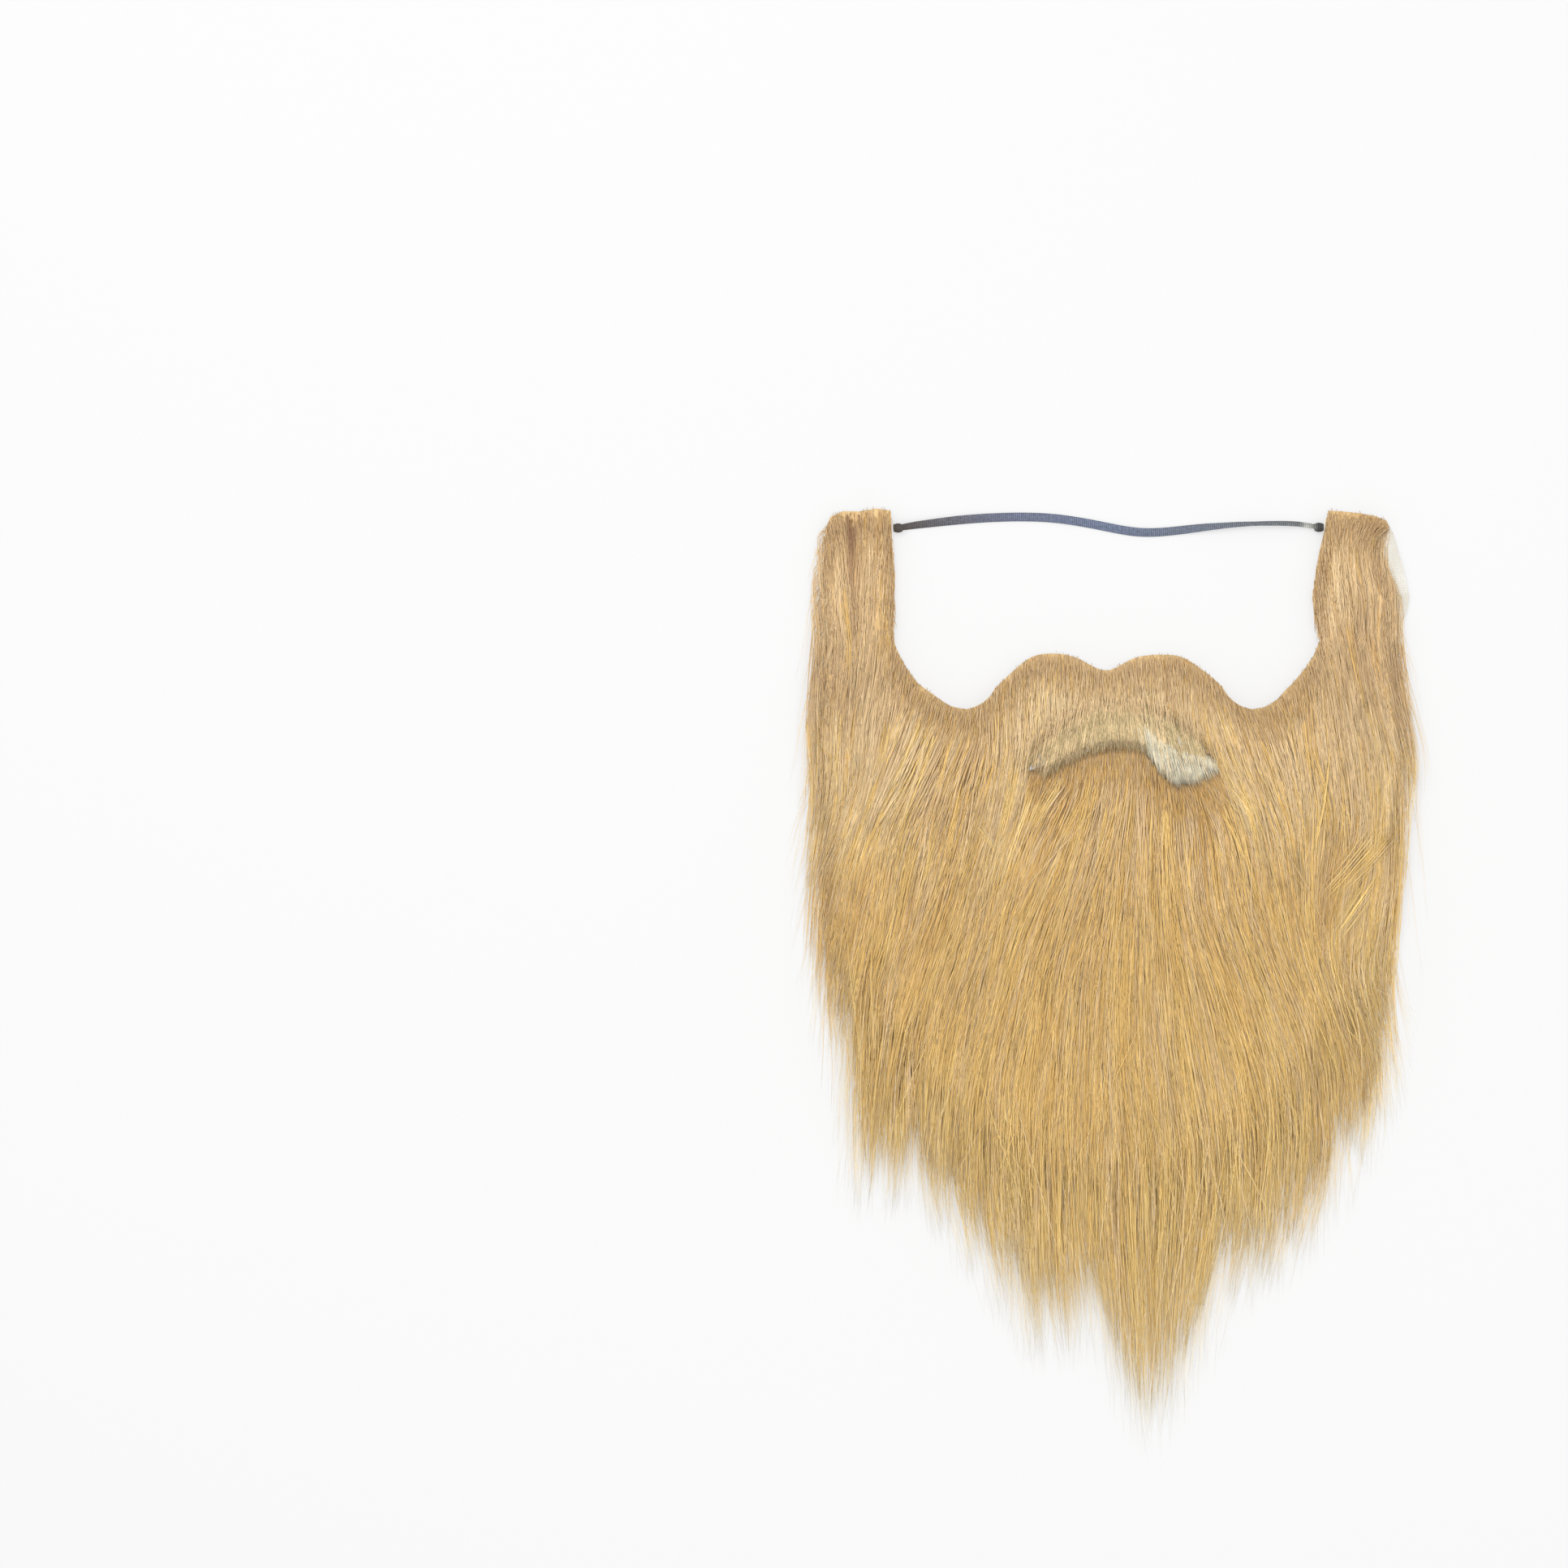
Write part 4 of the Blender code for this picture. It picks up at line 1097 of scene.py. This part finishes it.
def mesh_from(bm, name):
    mesh = bpy.data.meshes.new(name)
    bm.to_mesh(mesh)
    bm.free()
    mesh.shade_smooth()
    return mesh


def ground_pile(beard):
    """The short dense pile under the long hair: a low mat over the cloth, closed underneath."""
    bm = bmesh.new()
    bm.from_mesh(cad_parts["backing_cloth"].data)
    bmesh.ops.delete(bm, geom=[face for face in bm.faces if face.normal.z < 0.5], context="FACES")
    refined(bm, 6.0 * MM)
    centres = np.array([face.calc_center_median().xy for face in bm.faces])
    open_faces = [face for face, inside in zip(bm.faces, in_opening(centres)) if inside]
    bmesh.ops.delete(bm, geom=open_faces, context="FACES")
    places = np.array([vertex.co.xy for vertex in bm.verts])
    heights = beard.mat.at(places) - rng.uniform(0, 0.08, len(places)) * (beard.mat.at(places) - CLOTH_TOP)
    upper = list(bm.verts)
    for part in bmesh.ops.extrude_face_region(bm, geom=list(bm.faces))["geom"]:
        if isinstance(part, bmesh.types.BMVert):
            part.co.z = CLOTH_TOP
    for vertex, height in zip(upper, heights):
        vertex.co.z = height
    settle(bm)
    bmesh.ops.recalc_face_normals(bm, faces=bm.faces)
    return mesh_from(bm, "ground_pile")


def knit_sheet():
    """The backing cloth as the frame has it, its side edge stretched outwards beside the right sideburn."""
    bm = bmesh.new()
    bm.from_mesh(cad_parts["backing_cloth"].data)
    refined(bm, 8.0 * MM)
    for vertex in bm.verts:
        vertex.co.x += float(flare(np.array(vertex.co.xy), 1, "cloth"))
    settle(bm)
    area = sum(face.calc_area() for face in bm.faces if face.normal.z > 0.5)
    return mesh_from(bm, "backing_knit"), area


def cloth(finish):
    """The knitted backing as a piece."""
    mesh, area = knit_sheet()
    piece = new_piece("backing_knit", mesh, finish, "backing_knit", "backing_cloth")


def tube_mesh(name, sections):
    """A closed tube through sections of points. Its map OFBake runs round it and along it."""
    count, around = sections.shape[:2]
    bm = bmesh.new()
    rows = [[bm.verts.new(point) for point in section] for section in sections]
    chart = bm.loops.layers.uv.new("OFBake")
    for i in range(count - 1):
        for k in range(around):
            m = (k + 1) % around
            face = bm.faces.new((rows[i][k], rows[i][m], rows[i + 1][m], rows[i + 1][k]))
            places = ((i, k), (i, k + 1), (i + 1, k + 1), (i + 1, k))
            for loop, (row, column) in zip(face.loops, places):
                loop[chart].uv = (0.04 + 0.9 * row / count, 0.02 + 0.96 * column / around)
    for row, turned in ((rows[0], True), (rows[-1], False)):
        face = bm.faces.new(row[::-1] if turned else row)
        for loop in face.loops:
            loop[chart].uv = (0.97 + 0.01 * math.cos(loop.index), 0.5 + 0.01 * math.sin(loop.index))
    bmesh.ops.recalc_face_normals(bm, faces=bm.faces)
    return mesh_from(bm, name)


def elastic_line():
    """Evenly spaced points of the elastic's route on the floor, with its kinks smoothed."""
    route = np.array(ELASTIC_ROUTE)
    gone = np.concatenate([[0], np.cumsum(np.linalg.norm(np.diff(route, axis=0), axis=1))])
    steps = np.linspace(0, gone[-1], int(gone[-1] / ELASTIC_STEP) + 1)
    line = np.stack([np.interp(steps, gone, route[:, axis]) for axis in (0, 1)], 1)
    padded = np.pad(line, ((ELASTIC_SMOOTH, ELASTIC_SMOOTH), (0, 0)), mode="reflect", reflect_type="odd")
    window = np.ones(2 * ELASTIC_SMOOTH + 1) / (2 * ELASTIC_SMOOTH + 1)
    line = np.stack([np.convolve(padded[:, axis], window, "valid") for axis in (0, 1)], 1)
    return line, steps


def elastic(finish):
    """The flat woven elastic: a ribbed band on the floor that turns on its edge at the right, and its knots."""
    line, steps = elastic_line()
    lay_x = column_of(ELASTIC_LAYS, "x") * MM
    turn = np.radians(np.interp(line[:, 0], lay_x, column_of(ELASTIC_LAYS, "turn")))
    half = ELASTIC_WIDTH / 2 * np.interp(line[:, 0], lay_x, column_of(ELASTIC_LAYS, "width"))
    thick = ELASTIC_THICKNESS / 2 * (1 + 0.10 * (np.arange(len(steps)) % 2))
    resting = np.abs(half * np.sin(turn)) + thick * np.cos(turn) + 0.1 * MM
    from_end = np.minimum(steps, steps[-1] - steps)
    lifted = KNOT_HEIGHT * (1 - smoothstep(0, 11 * MM, from_end))
    centres = np.concatenate([line, np.maximum(resting, lifted)[:, None]], 1)
    along = unit(np.gradient(centres, axis=0))
    level = unit(np.cross(np.array([0.0, 0.0, 1.0]), along))
    above = np.cross(along, level)
    side = level * np.cos(turn)[:, None] + above * np.sin(turn)[:, None]
    face = np.cross(along, side)
    angles = np.linspace(0, 2 * math.pi, ELASTIC_SIDES, endpoint=False)
    ribs = 1 + 0.16 * np.cos(2 * math.pi * ELASTIC_RIBS * np.cos(angles) / 2)
    sections = (
        centres[:, None]
        + side[:, None] * (half[:, None] * np.cos(angles))[..., None]
        + face[:, None] * (thick[:, None] * np.sin(angles) * ribs)[..., None]
    )
    band = new_piece("elastic_band", tube_mesh("elastic_band", sections), finish, "elastic", "elastic_cord")
    knots = [
        knot("elastic_knot_left", "cord_knot_left", finish),
        knot("elastic_knot_right", "cord_knot_right", finish),
    ]


def knot(name, node, finish):
    """An end of the elastic: doubled back and wound with thread."""
    low, high = (np.array(corner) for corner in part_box(node))
    centre, size = (low + high) / 2, high - low
    turns = np.linspace(0, 1, KNOT_TURNS * KNOT_TURN_STEPS)
    angle = 2 * math.pi * KNOT_TURNS * turns
    swell = size[1] / 2 * (0.72 + 0.20 * np.sin(math.pi * turns)) - KNOT_THREAD
    wound = np.stack(
        [
            centre[0] + (turns - 0.5) * (size[0] - 2.4 * KNOT_THREAD),
            centre[1] + swell * np.cos(angle),
            centre[2] + swell * np.sin(angle),
        ],
        1,
    )
    core = np.tile(centre, (KNOT_SECTIONS, 1))
    core[:, 0] = np.linspace(low[0] + 0.2 * MM, high[0] - 0.2 * MM, KNOT_SECTIONS)
    fatness = size[1] / 2 * (0.62 + 0.18 * np.sin(np.linspace(0, math.pi, KNOT_SECTIONS)))
    meshes = [round_tube(core, fatness), round_tube(wound, np.full(len(wound), KNOT_THREAD), 6)]
    return new_piece(name, joined(name, meshes), finish, "elastic", node)


def round_tube(line, radii, sides=12):
    """Sections of a round tube along a line."""
    along = unit(np.gradient(line, axis=0))
    side = unit(np.cross(along, np.array([0.02, 0.04, 1.0])))
    lift = np.cross(side, along)
    angles = np.linspace(0, 2 * math.pi, sides, endpoint=False)[None, :, None]
    spokes = side[:, None] * np.cos(angles) + lift[:, None] * np.sin(angles)
    return line[:, None] + spokes * radii[:, None, None]


def joined(name, tubes):
    """One mesh of several closed tubes."""
    bm = bmesh.new()
    for sections in tubes:
        part = tube_mesh(name, sections)
        bm.from_mesh(part)
        bpy.data.meshes.remove(part)
    return mesh_from(bm, name)


def principled(name):
    """A material, its node tree and its shader."""
    made = bpy.data.materials.new(name)
    made.use_nodes = True
    return made, made.node_tree, made.node_tree.nodes["Principled BSDF"]


def linear(colour):
    """Linear values of an sRGB colour given in 0 to 255."""
    return [c / 255 / 12.92 if c <= 10 else ((c / 255 + 0.055) / 1.055) ** 2.4 for c in colour]


def ramp(tree, stops, source):
    """A colour ramp of (place, sRGB colour) stops, fed by a socket."""
    node = tree.nodes.new("ShaderNodeValToRGB")
    while len(node.color_ramp.elements) < len(stops):
        node.color_ramp.elements.new(0.5)
    for element, (place, colour) in zip(node.color_ramp.elements, stops):
        element.position = place
        element.color = (*linear(colour), 1)
    tree.links.new(source, node.inputs["Fac"])
    return node.outputs["Color"]


def multiply(tree, one, other):
    node = tree.nodes.new("ShaderNodeMix")
    node.data_type = "RGBA"
    node.blend_type = "MULTIPLY"
    node.inputs["Factor"].default_value = 1.0
    tree.links.new(one, node.inputs[MIX_A])
    tree.links.new(other, node.inputs[MIX_B])
    return node.outputs[MIX_RESULT]


def spread(tree, low, high, source):
    """A number socket moved from the range 0 to 1 into another."""
    node = tree.nodes.new("ShaderNodeMapRange")
    node.inputs["To Min"].default_value = low
    node.inputs["To Max"].default_value = high
    tree.links.new(source, node.inputs["Value"])
    return node.outputs["Result"]


def object_place(tree, scale=(1, 1, 1)):
    """Object coordinates, scaled on each axis."""
    place = tree.nodes.new("ShaderNodeTexCoord")
    moved = tree.nodes.new("ShaderNodeMapping")
    moved.inputs["Scale"].default_value = scale
    tree.links.new(place.outputs["Object"], moved.inputs["Vector"])
    return moved.outputs["Vector"]


def noise(tree, vector, scale, detail=3.0):
    node = tree.nodes.new("ShaderNodeTexNoise")
    node.inputs["Scale"].default_value = scale
    node.inputs["Detail"].default_value = detail
    tree.links.new(vector, node.inputs["Vector"])
    return node.outputs["Fac"]


def bands(tree, vector, scale, direction, distortion=0.0):
    """Soft stripes across one axis."""
    node = tree.nodes.new("ShaderNodeTexWave")
    node.bands_direction = direction
    node.inputs["Scale"].default_value = scale
    node.inputs["Distortion"].default_value = distortion
    tree.links.new(vector, node.inputs["Vector"])
    return node.outputs["Fac"]


def bumped(tree, shader, height, strength, distance):
    node = tree.nodes.new("ShaderNodeBump")
    node.inputs["Strength"].default_value = strength
    node.inputs["Distance"].default_value = distance
    tree.links.new(height, node.inputs["Height"])
    tree.links.new(node.outputs["Normal"], shader.inputs["Normal"])


def hair_finish():
    """Blond synthetic hair: each hair's tone from the palette, times painted shade that darkens it towards the
    root, where the pile shades it; its tip keeps its own paler colour.
    """
    made, tree, shader = principled("blond_hair")
    chart = tree.nodes.new("ShaderNodeUVMap")
    chart.uv_map = "OFBake"
    parts = tree.nodes.new("ShaderNodeSeparateXYZ")
    tree.links.new(chart.outputs["UV"], parts.inputs["Vector"])
    stops = [
        ((band + place) / len(PALETTE), colour)
        for band, tones in enumerate(PALETTE)
        for place, colour in tones
    ]
    tone = ramp(tree, stops, parts.outputs["X"])
    # painted shade along the length, darkest at the root
    length = ramp(tree, ROOT_SHADE_TONES, parts.outputs["Y"])
    tree.links.new(multiply(tree, tone, length), shader.inputs["Base Color"])
    tree.links.new(spread(tree, 0.7, 0.54, parts.outputs["Y"]), shader.inputs["Roughness"])
    shader.inputs["Specular IOR Level"].default_value = 0.22
    shader.inputs["Sheen Weight"].default_value = 0.1
    shader.inputs["Sheen Roughness"].default_value = 0.4
    return made


def ground_finish():
    """The dense short pile: streaked blond, a little darker than the hair over it, as painted shade of the deep
    pile between the hairs.
    """
    made, tree, shader = principled("ground_pile")
    streaks = noise(tree, object_place(tree, (900, 160, 300)), 1.0)
    patches = noise(tree, object_place(tree), 45.0)
    # fibre tones darkened as painted shade of the deep pile
    fibre_and_painted_shade = ramp(tree, [(0.3, (196, 162, 114)), (0.5, (211, 180, 130)), (0.7, (224, 197, 148))], streaks)
    area = ramp(tree, [(0.3, (226, 220, 214)), (0.7, (255, 255, 255))], patches)
    tree.links.new(multiply(tree, fibre_and_painted_shade, area), shader.inputs["Base Color"])
    tree.links.new(spread(tree, 0.6, 0.8, streaks), shader.inputs["Roughness"])
    shader.inputs["Specular IOR Level"].default_value = 0.2
    bumped(tree, shader, streaks, 0.6, 0.0008)
    return made


def knit_finish():
    """Off-white warp knit: wales and courses in relief, slightly uneven, with a soft matt surface. Its slight
    warm tint is partly painted bounce light from the hair.
    """
    made, tree, shader = principled("backing_knit")
    place = object_place(tree)
    wales = bands(tree, place, KNIT_WALES, "X", 0.6)
    courses = bands(tree, place, KNIT_COURSES, "Y", 1.2)
    weave = tree.nodes.new("ShaderNodeMath")
    weave.operation = "MULTIPLY"
    tree.links.new(wales, weave.inputs[0])
    tree.links.new(courses, weave.inputs[1])
    # slightly warm off-white, partly painted bounce light from the hair
    yarn = [(0.0, (198, 196, 190)), (0.4, (217, 215, 208)), (1.0, (226, 225, 220))]
    loops = ramp(tree, yarn, weave.outputs[0])
    stains = ramp(tree, [(0.3, (238, 234, 226)), (0.7, (255, 255, 255))], noise(tree, place, 60.0))
    tree.links.new(multiply(tree, loops, stains), shader.inputs["Base Color"])
    tree.links.new(spread(tree, 0.92, 0.8, weave.outputs[0]), shader.inputs["Roughness"])
    shader.inputs["Specular IOR Level"].default_value = 0.2
    bumped(tree, shader, weave.outputs[0], 0.8, 0.0004)
    return made


def elastic_finish():
    """Blue-grey braided elastic, darker and browner at its left end and greyer at its right, with a pale and
    then a dark mark by its right knot, and fine ribs.
    """
    made, tree, shader = principled("elastic_weave")
    place = object_place(tree)
    parts = tree.nodes.new("ShaderNodeSeparateXYZ")
    tree.links.new(place, parts.inputs["Vector"])
    along = tree.nodes.new("ShaderNodeMapRange")
    along.inputs["From Min"].default_value = -100 * MM
    along.inputs["From Max"].default_value = 100 * MM
    tree.links.new(parts.outputs["X"], along.inputs["Value"])
    # colour along the elastic: darker and browner at the left end, a pale then a dark mark by the right knot
    colour_along = ramp(tree, ELASTIC_TONES, along.outputs["Result"])
    weft = bands(tree, place, ELASTIC_PICKS, "X", 0.8)
    fleck = noise(tree, place, 900.0, 2.0)
    threads = ramp(tree, [(0.0, (196, 196, 200)), (0.6, (242, 242, 244)), (1.0, (255, 255, 255))], weft)
    specks = ramp(tree, [(0.35, (214, 214, 216)), (0.65, (255, 255, 255))], fleck)
    tree.links.new(multiply(tree, multiply(tree, colour_along, threads), specks), shader.inputs["Base Color"])
    tree.links.new(spread(tree, 0.7, 0.5, weft), shader.inputs["Roughness"])
    shader.inputs["Specular IOR Level"].default_value = 0.3
    bumped(tree, shader, weft, 0.5, 0.0003)
    return made


def stage():
    """A bright table top, soft light from all round, two large softboxes, and the camera straight above."""
    mesh = bpy.data.meshes.new("floor")
    bm = bmesh.new()
    bmesh.ops.create_grid(bm, x_segments=1, y_segments=1, size=4.0)
    bm.to_mesh(mesh)
    bm.free()
    floor = placed("floor", mesh)
    made, _, shader = principled("table_top")
    shader.inputs["Base Color"].default_value = (FLOOR_ALBEDO, FLOOR_ALBEDO, FLOOR_ALBEDO, 1)
    shader.inputs["Roughness"].default_value = 0.9
    shader.inputs["Specular IOR Level"].default_value = 0.0
    shader.inputs["Emission Color"].default_value = (1, 1, 1, 1)
    shader.inputs["Emission Strength"].default_value = FLOOR_GLOW
    mesh.materials.append(made)

    world = bpy.data.worlds.new("soft_room")
    bpy.context.scene.world = world
    world.use_nodes = True
    background = world.node_tree.nodes["Background"]
    background.inputs["Color"].default_value = (1.0, 1.0, 1.0, 1)
    background.inputs["Strength"].default_value = ROOM_LIGHT
    for lamp in LAMPS:
        light = bpy.data.lights.new(lamp.name, "AREA")
        light.size = lamp.size
        light.energy = lamp.energy
        holder = placed(lamp.name, light)
        holder.location = (lamp.x, lamp.y, lamp.z)
        aim = Vector((0, -0.1, 0)) - holder.location
        holder.rotation_euler = aim.to_track_quat("-Z", "Y").to_euler()

    lens = bpy.data.cameras.new("camera")
    lens.lens = LENS
    lens.sensor_width = SENSOR
    camera = placed("camera", lens)
    camera.location = (*VIEW_CENTRE, VIEW_WIDTH * LENS / SENSOR)
    bpy.context.scene.camera = camera
    bpy.context.scene.view_settings.view_transform = "Standard"


stage()
elastic(elastic_finish())
beard = Beard()
cloth(knit_finish())
new_piece("ground_pile", ground_pile(beard), ground_finish(), "blond_fur", *FUR_NODES)
hair_pieces(beard, hair_finish())
